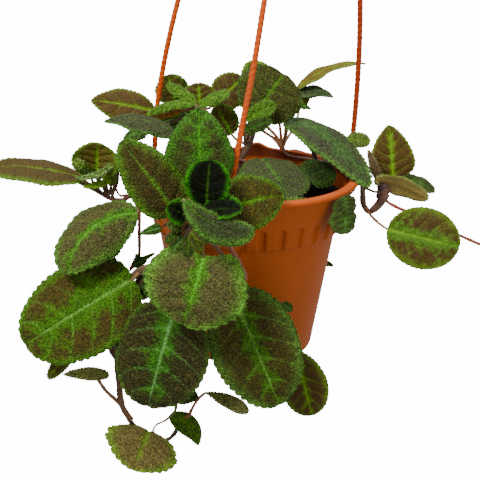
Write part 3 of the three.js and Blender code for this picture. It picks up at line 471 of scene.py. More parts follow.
class Blade:
    """One leaf blade: a grid of points with its relief, and the colours of its two sides."""

    def __init__(self, shape, seed):
        self.shape = shape
        self.look = {**LOOKS[shape["look"]], **shape["paint"]}
        self.seed = seed
        base, tip, facing, sideways = blade_frame(shape)
        width = shape["width"]
        self.length = float(np.linalg.norm(tip - base))
        self.width = width
        step = GRID_STEPS[width > WIDE_FOR_GRID]
        self.rows = int(max(FEWEST_ROWS, ROWS_PER_STEP * self.length / step))
        self.columns = 4 * int(max(FEWEST_QUARTERS, COLUMNS_PER_STEP * width / (2 * step))) + 1
        self.grid(facing, sideways)
        self.veins()
        self.relief()
        self.colour()

    def grid(self, facing, sideways):
        shape, length, width = self.shape, self.length, self.width
        base, tip = np.array(shape["base"], float), np.array(shape["tip"], float)
        arch, sweep = shape["arch"], shape["sweep"]
        s = np.linspace(0, 1, self.rows)
        u = EVEN_SHARE * s + (1 - EVEN_SHARE) * (1 - np.cos(np.pi * s)) / 2
        self.u = u
        slope = 4 * (1 - 2 * u)[:, None]
        middle = midrib(shape, u)
        tangent = unit((tip - base) + facing * (arch * length * slope) + sideways * (sweep * length * slope))
        up = unit(facing - tangent * (tangent @ facing)[:, None])
        side = np.cross(tangent, up)
        t = u ** shape["taper"]
        half = width / 2 * np.clip(1 - (2 * t - 1) ** 2, 0, None) ** (0.5 * shape["point"])
        self.half = half
        v = np.linspace(-1, 1, self.columns)
        self.v = v
        fold, droop = shape["fold"], shape["droop"]
        across = v[None, :] * half[:, None]
        lift = fold * np.sqrt(across ** 2 + RIB_SOFTNESS) - droop * across ** 2 / (width / 2)
        # Round teeth along the margin
        run = np.hypot(np.gradient(u * length), np.gradient(half))
        margin_way = np.cumsum(run)
        pitch = shape.get("teeth", TOOTH_PITCH + TOOTH_PITCH_PER_WIDTH * width)
        jitter = 0.35 * soft_noise(margin_way / (2.3 * pitch), margin_way * 0, self.seed + 3)
        tooth = np.abs(np.sin(np.pi * (margin_way / pitch + jitter))) ** TOOTH_ROUNDNESS - TOOTH_LEVEL
        uneven = 0.6 + 0.8 * soft_noise(margin_way / 7, margin_way * 0, self.seed)
        tooth = tooth * shape["bite"] * pitch * uneven
        ahead = -np.gradient(half) / run
        outward = np.gradient(u * length) / run
        near_edge = np.abs(v) ** EDGE_POWER
        push_side = (tooth * outward)[:, None] * near_edge * np.sign(v)
        push_along = (tooth * ahead)[:, None] * near_edge
        # A slow ruffle of the margin
        wave = np.sin(2 * np.pi * (RUFFLE_WAVES * u[:, None] + 0.25 * np.sign(v) + lattice(self.seed, 5, 1)))
        ruffle = (RUFFLE_PER_WIDTH * width + RUFFLE) * wave * np.abs(v) ** 3
        across_all = across + push_side
        # Lobes that reach back past the petiole
        reach_back = shape["lobe"] * width * (u / LOBE_PLACE) * np.exp(1 - u / LOBE_PLACE)
        push_along = push_along - reach_back[:, None] * np.abs(v) ** 1.5
        self.points = (middle[:, None] + side[:, None] * across_all[..., None]
                       + tangent[:, None] * push_along[..., None] + up[:, None] * (lift + ruffle)[..., None])
        self.across = across
        self.along = np.repeat((u * length)[:, None], self.columns, 1)
        self.edge_gap = (1 - np.abs(v))[None, :] * half[:, None]

    def veins(self):
        """How close each point lies to the midrib and to the side veins, from 0 to about 1."""
        u = self.u[:, None]
        reach = np.abs(self.v)[None, :]
        self.rib_width = 0.95 * (1.15 - u) * (0.5 + self.width / 90)
        self.rib = np.exp(-((self.across / self.rib_width) ** 2)) * (1 - smoothstep(0.86, 0.99, u))
        count = VEIN_COUNTS[self.width > WIDE_FOR_VEINS]
        sweep = 0.24 * reach ** 1.25 + 0.02 * np.sign(self.v)[None, :]
        drift = 0.35 * soft_noise(2.2 * u + 0 * reach, 1.6 * self.v[None, :] + 0 * u, self.seed + 51)
        phase = (u - sweep) * count - 0.35 + drift
        self.phase = phase - np.round(phase)
        gap = np.abs(self.phase) / count * self.length
        thin = 0.75 * (1.05 - 0.6 * reach) * (0.6 + self.width / 120)
        inside = smoothstep(-0.06, 0.06, u - sweep) * (1 - smoothstep(0.86, 1.0, reach))
        strength = 0.35 + 0.9 * soft_noise(self.along / 8, self.across / 8, self.seed + 61)
        self.side_vein = np.exp(-((gap / thin) ** 2)) * inside * strength
        self.side_glow = np.exp(-((gap / (3.6 * thin)) ** 2)) * inside * strength * (1 - 0.75 * reach)

    def relief(self):
        """Quilting between the veins, in millimetres along the surface's own direction."""
        cell = PEBBLE_SIZES[self.width > WIDE_FOR_VEINS]
        drift = 1.6 * soft_noise(self.along / 5, self.across / 5, self.seed + 41)
        x, y = (self.along + drift) / cell, (self.across + drift) / cell
        near, second, self.number = cells(x, y, self.seed)
        self.cell = np.clip((second - near) * 1.7, 0, 1)
        size = 0.45 + self.width / 110
        fade = 1 - 0.6 * np.abs(self.v)[None, :] ** 6
        pillow = np.cos(np.pi * 2 * self.phase)
        height = -RIB_DEPTH * self.rib - VEIN_DEPTH * self.side_vein
        height = height - PILLOW_HEIGHT * (1 - self.rib) * pillow * (1 - np.abs(self.v)[None, :] ** 3)
        height = height + PEBBLE_HEIGHT * np.sqrt(self.cell) * fade * (1 - self.rib)
        rough = soft_noise(self.along / 9, self.across / 9, self.seed + 11) - 0.5
        height = (height + ROUGH_HEIGHT * rough) * size
        rows = np.gradient(self.points, axis=0)
        columns = np.gradient(self.points, axis=1)
        normal = np.cross(columns, rows)
        length = np.linalg.norm(normal, axis=-1, keepdims=True)
        ends = length[..., 0] < 1e-6
        normal = normal / np.maximum(length, 1e-6)
        normal[ends] = 0
        _, _, facing, _ = blade_frame(self.shape)
        if np.sum(normal @ facing) < 0:
            normal = -normal
        self.normal = normal
        thickness = SKIN_THICKNESS + 0.5 * self.rib + 0.2 * self.side_vein
        self.lower = self.points - normal * thickness[..., None]
        self.points = self.points + normal * np.maximum(height, DEEPEST_DENT)[..., None]

    def colour(self):
        """Colours for each point of the upper side and of the underside."""
        look, shape = self.look, self.shape
        u = self.u[:, None]
        blotch = soft_noise(self.along / 6.5, self.across / 6.5, self.seed + 21)
        fine = soft_noise(self.along / 1.6, self.across / 1.6, self.seed + 31)
        middle = np.exp(-((np.abs(self.across) / (look["flare"] * self.width / 2 + 0.6)) ** 2))
        middle = middle * (1 - 0.65 * smoothstep(0.45, 1.0, u))
        rim = np.exp(-((self.edge_gap / look["rim"]) ** 2))
        bias = look["bias"] + shape["bias"]
        mottle = look.get("mottle", USUAL_MOTTLE)
        greenness = 0.8 * middle + look["lateral"] * self.side_glow + 0.9 * mottle * (blotch - 0.5) + bias
        greenness = greenness + mottle * (0.5 * (self.number - 0.5) + 0.35 * (0.5 - self.cell))
        greenness = smoothstep(0.2, 0.7, greenness)
        colour = mix(look["ground"], look["green"], greenness)
        colour = mix(colour, look["margin"], np.clip(rim * (0.6 + 0.8 * fine), 0, 1))
        colour = colour * (1 + mottle * (0.56 * self.number - 0.28))[..., None]
        seam = (1 - smoothstep(0.05, 0.45, self.cell)) * (1 - self.rib)
        colour = mix(colour, look["net"], 0.7 * mottle * seam * (1 - 0.6 * greenness))
        colour = mix(colour, look["rib"], np.clip(0.62 * self.side_vein * look["lateral"], 0, 1))
        colour = mix(colour, look["rib"], np.clip(self.rib * shape["rib"], 0, 1))
        colour = colour * (1 + mottle * (0.4 * fine - 0.2))[..., None]
        self.top_colour = np.clip(colour * shape["tone"], 0, 1)
        under = mix(look["under"], look["ground"], 0.25 * blotch)
        under = mix(under, UNDER_RIB_TINT, 0.6 * np.clip(self.rib + 0.6 * self.side_vein, 0, 1))
        self.under_colour = np.clip(mix(under, look["margin"], 0.6 * rim), 0, 1)

    def add_to(self, gather):
        """Both sides as one closed mesh. The underside has every second column of the upper side."""
        rows, columns = self.rows, self.columns
        top = self.points + self.normal * (SKIN_LIFT * (1 - np.abs(self.v) ** 10))[None, :, None]
        keep = np.arange(0, columns, 2)
        low = self.lower[:, keep]
        inner = slice(1, rows - 1)
        top_rows = rows - 2
        top_points = top[inner].reshape(-1, 3)
        top_tints = self.top_colour[inner].reshape(-1, 3)
        ends = np.stack([self.points[0, columns // 2], self.points[-1, columns // 2]])
        end_tints = np.stack([self.top_colour[0, columns // 2], self.top_colour[-1, columns // 2]])
        low_count = len(keep)
        low_points = low[inner, 1:-1].reshape(-1, 3)
        low_tints = self.under_colour[:, keep][inner, 1:-1].reshape(-1, 3)
        start_ends = len(top_points)
        start_low = start_ends + 2
        top_index = np.arange(top_rows * columns).reshape(top_rows, columns)
        low_index = np.zeros((top_rows, low_count), np.int64)
        low_inner = start_low + np.arange(top_rows * (low_count - 2))
        low_index[:, 1:-1] = low_inner.reshape(top_rows, low_count - 2)
        low_index[:, 0] = top_index[:, 0]
        low_index[:, -1] = top_index[:, -1]
        triangles = [cell_triangles(top_index, False), cell_triangles(low_index, True)]
        for index, end, flip in ((top_index[0], start_ends, True), (top_index[-1], start_ends + 1, False),
                                 (low_index[0], start_ends, False), (low_index[-1], start_ends + 1, True)):
            fan = np.stack([index[:-1], index[1:], np.full(len(index) - 1, end)], -1)
            triangles.append(fan[:, ::-1] if flip else fan)
        points = np.concatenate([top_points, ends, low_points])
        tints = np.concatenate([top_tints, end_tints, low_tints])
        gather.add(points, np.concatenate(triangles), tints, self.look["kind"])


def cell_triangles(index, flip):
    """Two triangles for each cell of a grid of point numbers."""
    a, b, c, d = index[:-1, :-1], index[:-1, 1:], index[1:, :-1], index[1:, 1:]
    first = np.stack([a, b, c], -1).reshape(-1, 3)
    second = np.stack([b, d, c], -1).reshape(-1, 3)
    triangles = np.concatenate([first, second])
    return triangles[:, ::-1] if flip else triangles


def ring_triangles(rows, sides, flip=False):
    """Triangles for stacked rings of points, closed by fans to two end points that come last."""
    index = np.arange(rows * sides).reshape(rows, sides)
    wrapped = np.concatenate([index, index[:, :1]], 1)
    total = rows * sides
    start_fan = np.stack([wrapped[0, 1:], wrapped[0, :-1], np.full(sides, total)], -1)
    end_fan = np.stack([wrapped[-1, :-1], wrapped[-1, 1:], np.full(sides, total + 1)], -1)
    triangles = np.concatenate([cell_triangles(wrapped, False), start_fan, end_fan])
    return triangles[:, ::-1] if flip else triangles


# Hairs: sizes in millimetres
HAIR_FOOT = 0.15
DOWN_RADIUS, DOWN_LENGTHS, DOWN_SPREAD = 0.07, (0.6, 1.3), 0.3
MARGIN_RADIUS, MARGIN_LENGTHS, MARGIN_SPREAD = 0.1, (0.8, 1.9), 0.28
BUD_HAIR_RADIUS, BUD_HAIR_LENGTHS = 0.08, (0.8, 1.6)
STEM_HAIR_LENGTHS, STEM_HAIR_SPREAD = (0.5, 1.3), 0.25
DOWN_SHADE = 0.55
DOWN_PER_AREA = 0.3
MARGIN_HAIRS_PER_MM = 3
STEM_HAIRS_PER_MM = 2.6
STEM_HAIR_TINT = srgb(196, 176, 150)
BUD_TINT = srgb(40, 46, 22)
BUD_HAIR_TINT = srgb(170, 180, 140)
BUD_HAIRS = 70


def add_hairs(gather, roots, ways, lengths, radius, colour):
    """Thin closed spikes, each with three sides and a foot."""
    count = len(roots)
    if count == 0:
        return
    ways = unit(ways)
    helper = np.where(np.abs(ways[:, 2:3]) < 0.9, [[0.0, 0.0, 1.0]], [[1.0, 0.0, 0.0]])
    first = unit(np.cross(ways, helper))
    second = np.cross(ways, first)
    feet = []
    for turn in range(3):
        angle = 2 * math.pi * turn / 3
        around_root = math.cos(angle) * first + math.sin(angle) * second
        feet.append(roots - HAIR_FOOT * ways + radius * around_root)
    tips = roots + ways * lengths[:, None]
    points = np.stack([*feet, tips], 1).reshape(-1, 3)
    start = 4 * np.arange(count)[:, None]
    triangles = np.concatenate([start + np.array([[0, 1, 3]]), start + np.array([[1, 2, 3]]),
                                start + np.array([[2, 0, 3]]), start + np.array([[0, 2, 1]])])
    gather.add(points, triangles, colour, HAIR_KIND)


def blade_hairs(gather, blade, rng):
    """Down on the upper side, denser and longer at the margin."""
    look, shape = blade.look, blade.shape
    area = 0.75 * blade.length * blade.width
    amount = int(area * DOWN_PER_AREA * shape["fuzz"])
    weights = np.repeat(blade.half[1:-1], blade.columns)
    picks = rng.choice(len(weights), amount, p=weights / weights.sum())
    rows, columns = picks // blade.columns + 1, picks % blade.columns
    jitter = rng.normal(0, DOWN_SPREAD, (amount, 3))
    roots = blade.points[rows, columns] + 0.4 * blade.normal[rows, columns]
    slide = blade.points[np.minimum(rows + 1, blade.rows - 2), columns] - blade.points[rows, columns]
    roots = roots + slide * rng.random((amount, 1))
    ways = blade.normal[rows, columns] + 0.35 * unit(slide + 1e-9) + jitter
    lengths = rng.uniform(*DOWN_LENGTHS, amount)
    add_hairs(gather, roots, ways, lengths, DOWN_RADIUS, look["down"] * DOWN_SHADE)
    per_side = int(MARGIN_HAIRS_PER_MM * blade.length)
    for column, sign in ((0, -1), (blade.columns - 1, 1)):
        rows = rng.integers(1, blade.rows - 1, per_side)
        inward = blade.points[rows, column - sign * 2] - blade.points[rows, column]
        ways = unit(-inward) + 0.3 * blade.normal[rows, column] + rng.normal(0, MARGIN_SPREAD, (per_side, 3))
        roots = blade.points[rows, column] + 0.1 * inward
        lengths = rng.uniform(*MARGIN_LENGTHS, per_side)
        add_hairs(gather, roots, ways, lengths, MARGIN_RADIUS, look["down"])


# Stems
BLUNTNESS = 0.6
SPLINE_STEPS = 24
FINEST_STEP = 0.8
PETIOLE_TAPER = 0.65
PETIOLE_OVERLAP = 0.05


def smooth_line(points, step):
    """A centripetal spline through the given points, as evenly spaced points and their distances along it."""
    points = np.array(points, float)
    first = 2 * points[0] - points[1]
    last = 2 * points[-1] - points[-2]
    knots = np.concatenate([[first], points, [last]])
    pieces = []
    for p0, p1, p2, p3 in zip(knots, knots[1:], knots[2:], knots[3:]):
        d0 = max(np.linalg.norm(p1 - p0) ** 0.5, 1e-4)
        d1 = max(np.linalg.norm(p2 - p1) ** 0.5, 1e-4)
        d2 = max(np.linalg.norm(p3 - p2) ** 0.5, 1e-4)
        t1 = ((p1 - p0) / d0 - (p2 - p0) / (d0 + d1) + (p2 - p1) / d1) * d1
        t2 = ((p2 - p1) / d1 - (p3 - p1) / (d1 + d2) + (p3 - p2) / d2) * d1
        w = np.linspace(0, 1, SPLINE_STEPS, endpoint=False)[:, None]
        c2 = -3 * p1 + 3 * p2 - 2 * t1 - t2
        c3 = 2 * p1 - 2 * p2 + t1 + t2
        pieces.append(p1 + t1 * w + c2 * w ** 2 + c3 * w ** 3)
    dense = np.concatenate([*pieces, points[-1:]])
    way = np.concatenate([[0], np.cumsum(np.linalg.norm(np.diff(dense, axis=0), axis=1))])
    count = max(3, int(round(way[-1] / step)) + 1)
    spots = np.linspace(0, way[-1], count)
    return np.stack([np.interp(spots, way, dense[:, axis]) for axis in range(3)], 1), spots


def carried_frames(line):
    """The line's own direction at each point, and two square to it that turn as little as possible."""
    tangents = unit(np.gradient(line, axis=0))
    start = np.array([0.0, 0.0, 1.0]) if abs(tangents[0][2]) < 0.9 else np.array([1.0, 0.0, 0.0])
    first = unit(np.cross(tangents[0], start))
    firsts = []
    for tangent in tangents:
        first = unit(first - tangent * (first @ tangent))
        firsts.append(first)
    firsts = np.array(firsts)
    return tangents, firsts, np.cross(tangents, firsts)


def add_tube(gather, line, radii, colours, kind, sides=10, bumps=None):
    """A closed tube of round section, or of one that the function bumps gives. It ends in blunt points."""
    tangents, firsts, seconds = carried_frames(line)
    angles = np.linspace(0, 2 * np.pi, sides, endpoint=False)
    ring = firsts[:, None] * np.cos(angles)[None, :, None] + seconds[:, None] * np.sin(angles)[None, :, None]
    size = np.broadcast_to(np.asarray(radii, float).reshape(-1, 1), (len(line), 1))
    size = np.repeat(size, sides, 1)
    if bumps is not None:
        size = size * bumps(angles)
    body = line[:, None] + ring * size[..., None]
    start_point = line[0] - tangents[0] * size[0, 0] * BLUNTNESS
    end_point = line[-1] + tangents[-1] * size[-1, 0] * BLUNTNESS
    points = np.concatenate([body.reshape(-1, 3), [start_point, end_point]])
    colours = np.broadcast_to(np.asarray(colours, float), (len(line), 3))
    tints = np.concatenate([np.repeat(colours, sides, 0), colours[:1], colours[-1:]])
    gather.add(points, ring_triangles(len(line), sides), tints, kind)
    return firsts, seconds


def add_stem(gather, points, radius, rng, colour, end_radius, end_colour=None):
    """A hairy, slightly uneven stem whose radius and colour run from those of its start to its end's."""
    line, spots = smooth_line(points, max(FINEST_STEP, radius * 0.7))
    share = spots / spots[-1]
    end_colour = colour if end_colour is None else end_colour
    wobble = 1 + 0.07 * np.sin(spots / 3.1 + radius * 9) + 0.05 * np.sin(spots / 1.3)
    radii = (radius * (1 - share) + end_radius * share) * wobble
    colours = colour + (end_colour - colour) * share[:, None]
    firsts, seconds = add_tube(gather, line, radii, colours, STEM_KIND)
    amount = int(spots[-1] * STEM_HAIRS_PER_MM)
    picks = rng.integers(0, len(line), amount)
    angles = rng.uniform(0, 2 * np.pi, amount)[:, None]
    out = firsts[picks] * np.cos(angles) + seconds[picks] * np.sin(angles)
    roots = line[picks] + out * radii[picks][:, None]
    ways = out + rng.normal(0, STEM_HAIR_SPREAD, (amount, 3))
    add_hairs(gather, roots, ways, rng.uniform(*STEM_HAIR_LENGTHS, amount), DOWN_RADIUS, STEM_HAIR_TINT)


def leaf(look, base, tip, width, face, petiole=(), radius=1.0, **more):
    """One entry of the plant's table. The blade's upper side turns towards the direction called face."""
    shape = {**LEAF_DEFAULTS, "look": look, "base": base, "tip": tip, "width": width, "face": face, **more}
    return dict(shape=shape, petiole=list(petiole), radius=radius)


def add_leaf(gather, made, seed):
    rng = np.random.default_rng(seed)
    shape = made["shape"]
    blade = Blade(shape, seed)
    blade.add_to(gather)
    blade_hairs(gather, blade, rng)
    if made["petiole"]:
        radius = made["radius"] * PETIOLE_TAPER
        seat = midrib(shape, [shape["seat"], shape["seat"] + PETIOLE_OVERLAP])
        seat = seat - blade.normal[blade.rows // 6, blade.columns // 2] * np.array([[0.5], [radius + 1.2]])
        points = [*made["petiole"], *seat]
        end_colour = shape.get("petiole_end", blade.look["under"])
        add_stem(gather, points, made["radius"], rng, shape["petiole_colour"], radius, end_colour)


# Where the stems stand in the soil
ROOTS = {
    "front": (-37, -46),
    "left": (-57, -2),
    "rosette_left": (-31, 10),
    "rosette_right": (-2, 25),
    "back": (50, 34),
    "right_shoot": (50, 20),
    "right_plantlet": (46, 28),
    "inner_left": (14, 13),
    "inner_right": (30, -3),
}
ROOT_FOOT_Z = -26


def root(name, above_soil=3):
    """A stem's first points, from the foot of its hole in the fill to about the top of the soil."""
    x, y = ROOTS[name]
    return [[x, y, ROOT_FOOT_Z], [x, y, SOIL_TOP_Z - 4], [x, y, SOIL_TOP_Z + SOIL_CROWN + above_soil]]


# Places where stems fork
CROWN = [-34, -86, -9]
TRAIL = [-71, -68, -50]
LEFT_HEART = [-35, 19, 40]
RIGHT_HEART = [-2, 25, 14]
LEFT_FORK = [-92, -42, -6.5]
BACK_RIM = [25, 79, -2.5]
BACK_HEART = [25, 83, -6]
SHOOT_NECK = [46, 30, 8]
RIGHT_FORK = [79.8, -5.5, -20.5]
RIGHT_HEART_LOW = [93, 2, -10]

# Colours that some leaves have and their look has not
TOAST = dict(under=srgb(146, 82, 14), margin=srgb(86, 140, 30))
PLUM_BACK = dict(under=srgb(166, 150, 78), margin=srgb(124, 156, 70))
STRONG_VEINS = dict(flare=0.14, lateral=0.4, rim=1.4)
PALE_EDGE = dict(ground=srgb(108, 130, 66), green=srgb(112, 144, 70), margin=srgb(124, 156, 86))
LIME = dict(ground=srgb(104, 116, 46), green=srgb(110, 132, 50), margin=srgb(118, 146, 62))
LIME_EDGE = dict(margin=srgb(110, 152, 30), rim=5.0)
HUSK = dict(ground=srgb(108, 92, 48), green=srgb(104, 122, 30), flare=0.1, lateral=0.1)
SLATE = dict(ground=srgb(66, 76, 50), green=srgb(62, 96, 56), margin=srgb(84, 116, 66))
PLUM = dict(ground=srgb(88, 62, 46), green=srgb(88, 68, 46), margin=srgb(118, 106, 66), rib=srgb(110, 90, 60))
BOTTLE = dict(kind=SMOOTH_KIND, mottle=0.4, ground=srgb(48, 54, 14), green=srgb(56, 88, 16),
              margin=srgb(62, 96, 24))
DULL = dict(ground=srgb(92, 90, 48), green=srgb(92, 100, 50), margin=srgb(100, 108, 56), rim=1.2,
            flare=0.02, lateral=0.1)
OCHRE = dict(ground=srgb(112, 88, 24), green=srgb(104, 122, 24), margin=srgb(100, 122, 26), rim=3.5)

# The plant's pieces. Each has the node that it stands for, its leaves, its stems and its buds. A stem
# has its radius at the start and at the end, its colour and its course.
PLANT = []
FIRST_SEED, SEED_STEP, PIECE_SEED_STEP = 100, 13, 17


def plantlet(name, node, leaves, stems=(), buds=()):
    PLANT.append((name, node, leaves, stems, buds))


plantlet("front_crown_upper", "front_crown", [
    leaf("moss", [-29.5, -82, 10], [-31, -66, 58], 43, [0.05, -1, 0.25], [CROWN, [-31, -84, 2]], 1.5,
         arch=0.1, droop=0.45, taper=0.7, point=1.4, teeth=3.0, bias=0.1),
    leaf("olive", [-44, -88, -2], [-77.5, -82, 40], 34, [-0.1, -0.8, 0.6], [CROWN, [-38, -87, -6]], 1.5,
         arch=0.08, droop=0.2, taper=0.66, point=1.1, teeth=3.0,
         paint=dict(rim=4.2, ground=srgb(64, 52, 12), rib=srgb(92, 138, 40))),
    leaf("young", [-25, -96, 4], [-23.2, -94, 32.5], 27.5, [0, -1, 0.45], [CROWN, [-28, -92, -3]], 1.3,
         arch=0.05, fold=0.3, droop=0, taper=1.2, point=0.85, rib=0.4, paint=dict(rim=2.0)),
    leaf("olive", [-13, -88, 1], [22, -80, 8], 35, [0.1, -0.9, 0.45], [CROWN, [-22, -88, -4]], 1.3,
         arch=0.1, fold=0.15, droop=0.2, taper=0.68, point=1.3, bias=0.04, paint=dict(rim=2.8)),
    leaf("young", [-27, -100, 2], [-3, -104, 5], 19, [0, -0.6, 0.8], [CROWN, [-31, -94, -4]], 1.2,
         arch=0.05, fold=0.3, droop=0, rib=0.1),
    leaf("grey", [-38, -103, 10.5], [4, -114, -5.5], 20, [-0.25, -0.55, 0.8], [CROWN, [-39, -94, -1]], 1.2,
         arch=0.02, droop=0.5, sweep=0.16, tone=0.75, taper=1.4, rib=0.0,
         paint=dict(ground=srgb(46, 54, 30), flare=0.02, rim=3.2, lateral=0.05)),
    leaf("young", [-36, -98, -2], [-48, -102, 6], 16, [-0.3, -0.8, 0.5], [CROWN, [-35, -92, -6]], 1.2,
         arch=0.05, fold=0.3, droop=0, rib=0.15),
])

plantlet("front_crown_hanging", "front_crown", [
    leaf("grey", [-26, -102, -25.5], [-38.5, -111, -66.5], 65, [0.05, -0.85, 0.5], [CROWN, [-32, -95, -17]],
         1.8, arch=0.14, fold=0.15, droop=0.35, taper=0.92, sweep=-0.02, lobe=0.12, bias=0.06, tone=1.12,
         paint=dict(margin=srgb(94, 154, 42), rim=6.5, lateral=0.15)),
    leaf("dark", [-43, -84, -60], [-61.5, -92, -132], 60, [-0.1, -1, 0.15], [CROWN, [-38, -86, -30]], 1.5,
         arch=0.06, taper=1.05, point=0.92, bias=0.06, tone=1.1),
    leaf("patched", [-9, -80, -55], [23, -84, -133], 57, [0.1, -1, 0.2], [CROWN, [-20, -84, -16],
         [-11.2, -79, -25.8], [-8.6, -79, -30.3], [-4.1, -79, -38.6], [-0.5, -79, -48.5]], 2.1, arch=0.06,
         taper=0.95, petiole_colour=STEM_PINK, petiole_end=STEM_PINK, tone=0.78, bias=-0.06,
         paint=dict(flare=0.2, rim=6.5, margin=srgb(84, 134, 44))),
])

plantlet("front_crown_outer", "front_crown", [
    leaf("brown", [34, -60, -105], [46, -64, -150], 31, [0.1, -1, 0.1], [CROWN, [-15, -80, -32],
         [4, -70, -62], [24, -62, -90]], 1.3, arch=0.05, droop=0.2, taper=1.25, tone=0.85, bias=0.2,
         bite=0.15, paint=dict(ground=srgb(76, 52, 16), rim=3.0)),
    leaf("dark", [24, -72, -67], [30, -72, -72], 6, [0.2, -1, 0.2], [[4, -72, -62]], 0.9, tone=0.8),
    leaf("patched", [-72, -72, -52], [-141, -82, -95], 60.5, [-0.1, -0.95, 0.35], [[-66, -71, -46]], 1.6,
         arch=0.06, petiole_colour=STEM_TAN, teeth=5.0, lobe=0.02, point=0.86, bias=0.06,
         paint=dict(lateral=0.5, flare=0.36)),
    leaf("grey", [-65.5, -50, -172], [-73, -84, -183], 52, [0.3, -0.5, 0.8], [[-78, -50, -166],
         [-71, -49, -172]], 0.9, arch=0.12, fold=0.15, droop=0.3, taper=0.8, teeth=5.4, bite=0.34, rib=0.25,
         bias=-0.06, tone=1.1, paint={**LIME_EDGE, **HUSK}),
])

plantlet("front_crown_trailing", "front_crown", [
    # A small leaf in shade: its high tone is painted light
    leaf("grey", [-90, -61, -125], [-120, -66, -123], 9.5, [-0.1, -0.75, 0.65], [[-83, -54, -150],
         [-92.4, -56, -139.9]], 1.5, droop=0.2, taper=0.72, point=1.6, seat=0.36, rib=0.2, tone=2.6,
         petiole_colour=STEM_RUST, petiole_end=STEM_RUST, paint=DULL),
    leaf("green", [-50.5, -52, -160], [-30.6, -56, -178.8], 14.5, [0.2, -0.85, 0.4], [[-83, -62, -88],
         [-60, -57, -116], [-48.5, -53, -143], [-46.5, -51, -155]], 1.4, droop=0.2, taper=0.75, point=1.5,
         tone=0.8, sweep=-0.17, bite=0.12, petiole_colour=STEM_RUST),
    # A small leaf in shade: its high tone is painted light
    leaf("grey", [-25.5, -58, -138], [3.5, -60, -150.5], 10.5, [0.2, -0.75, 0.65], [[-43, -51, -162],
         [-37.5, -52, -158], [-34.5, -54, -151], [-30, -56, -143]], 1.3, droop=0.2, taper=1.5, rib=0.15,
         tone=1.9, petiole_colour=STEM_RUST, petiole_end=STEM_RUST, paint=DULL),
    leaf("dark", [-46, -50, -141.5], [-30.4, -52, -145.3], 15, [0.1, -0.8, 0.6], [[-46, -50, -154]], 1.1,
         droop=0.3, taper=0.6, point=1.6, tone=0.8),
    leaf("dark", [-60, -70, -55], [-68.5, -70, -67], 9, [-0.2, -0.9, 0.2], [[-52, -74, -44]], 1, tone=0.5),
    leaf("brown", [-64, -68, -48.5], [-71, -68, -60], 6, [-0.2, -0.9, 0.2], [[-56, -71, -36]], 1, tone=0.5,
         paint=PLUM),
    leaf("brown", [-111, -60, -104], [-131, -62, -128], 11, [-0.3, -0.9, 0.1], [[-85, -58, -104],
         [-97, -58, -98]], 0.9, arch=0.05, droop=0.2, tone=0.8),
    leaf("dark", [-55, -64, -20], [-68, -66, -24], 7, [0, -0.9, 0.4], [[-40, -72, 1], [-46, -68, -12]], 1,
         taper=0.5, point=1.5),
    leaf("brown", [-32, -98, -10], [-22, -104, -16], 10, [0.1, -0.8, 0.6], [CROWN], 1, tone=0.8, point=1.3),
    leaf("brown", [-34, -98, -12], [-27, -105, -22], 8, [0.2, -0.9, 0.3], [CROWN], 1, tone=0.45, point=1.3),
    leaf("dusky", [-40, -96, -9], [-48, -102, -7], 8, [-0.2, -0.7, 0.6], [CROWN], 0.9, fuzz=3),
    leaf("dusky", [-40, -97, -12], [-49, -101, -18], 7, [-0.3, -0.9, 0.3], [CROWN], 0.9, tone=0.7, fuzz=3),
    leaf("dark", [-39, -97, -15], [-45, -102, -24], 7, [-0.2, -0.9, 0.3], [CROWN], 0.9, fuzz=3),
    leaf("dusky", [-36, -98, -15], [-36, -104, -25], 8, [0.1, -0.9, 0.3], [CROWN], 0.9, fuzz=3, tone=0.6),
], [
    (2.2, 2.2, STEM_BROWN, [*root("front", 1), [-38, -50, -4], [-40, -56, 4], [-41.5, -62, 5.5],
     [-41, -69, 4], [-38, -78, -3], CROWN, [-38, -92, -19], [-54, -86, -36], TRAIL, [-82, -64, -69],
     [-86.5, -57, -100], [-85.8, -54, -112], [-84.4, -54, -132], [-82.8, -54, -150], [-77.3, -51, -163]]),
    (2.6, 1.6, STEM_RUSSET, [[-88, -55, -103], [-89, -55, -109], [-86.5, -54, -115]]),
    (1.4, 1.4, STEM_DARK, [[-78, -50, -164], [-66, -46, -179], [-54, -47, -180], [-49.1, -50, -175.7],
     [-45.3, -50, -169], [-45, -50, -160]]),
    (0.8, 0.7, STEM_RUST, [[-50, -51, -160], [-54.6, -52, -163.2], [-59.1, -52, -165.6],
     [-61.8, -52, -169.9], [-61.5, -50, -173]]),
    (1.3, 1.1, STEM_PALE, [CROWN, [-37, -95, -14], [-43, -99, -21], [-46, -97, -27]]),
], [([-43, -96, -18], 3.0), ([-38, -97, -21], 2.8)])

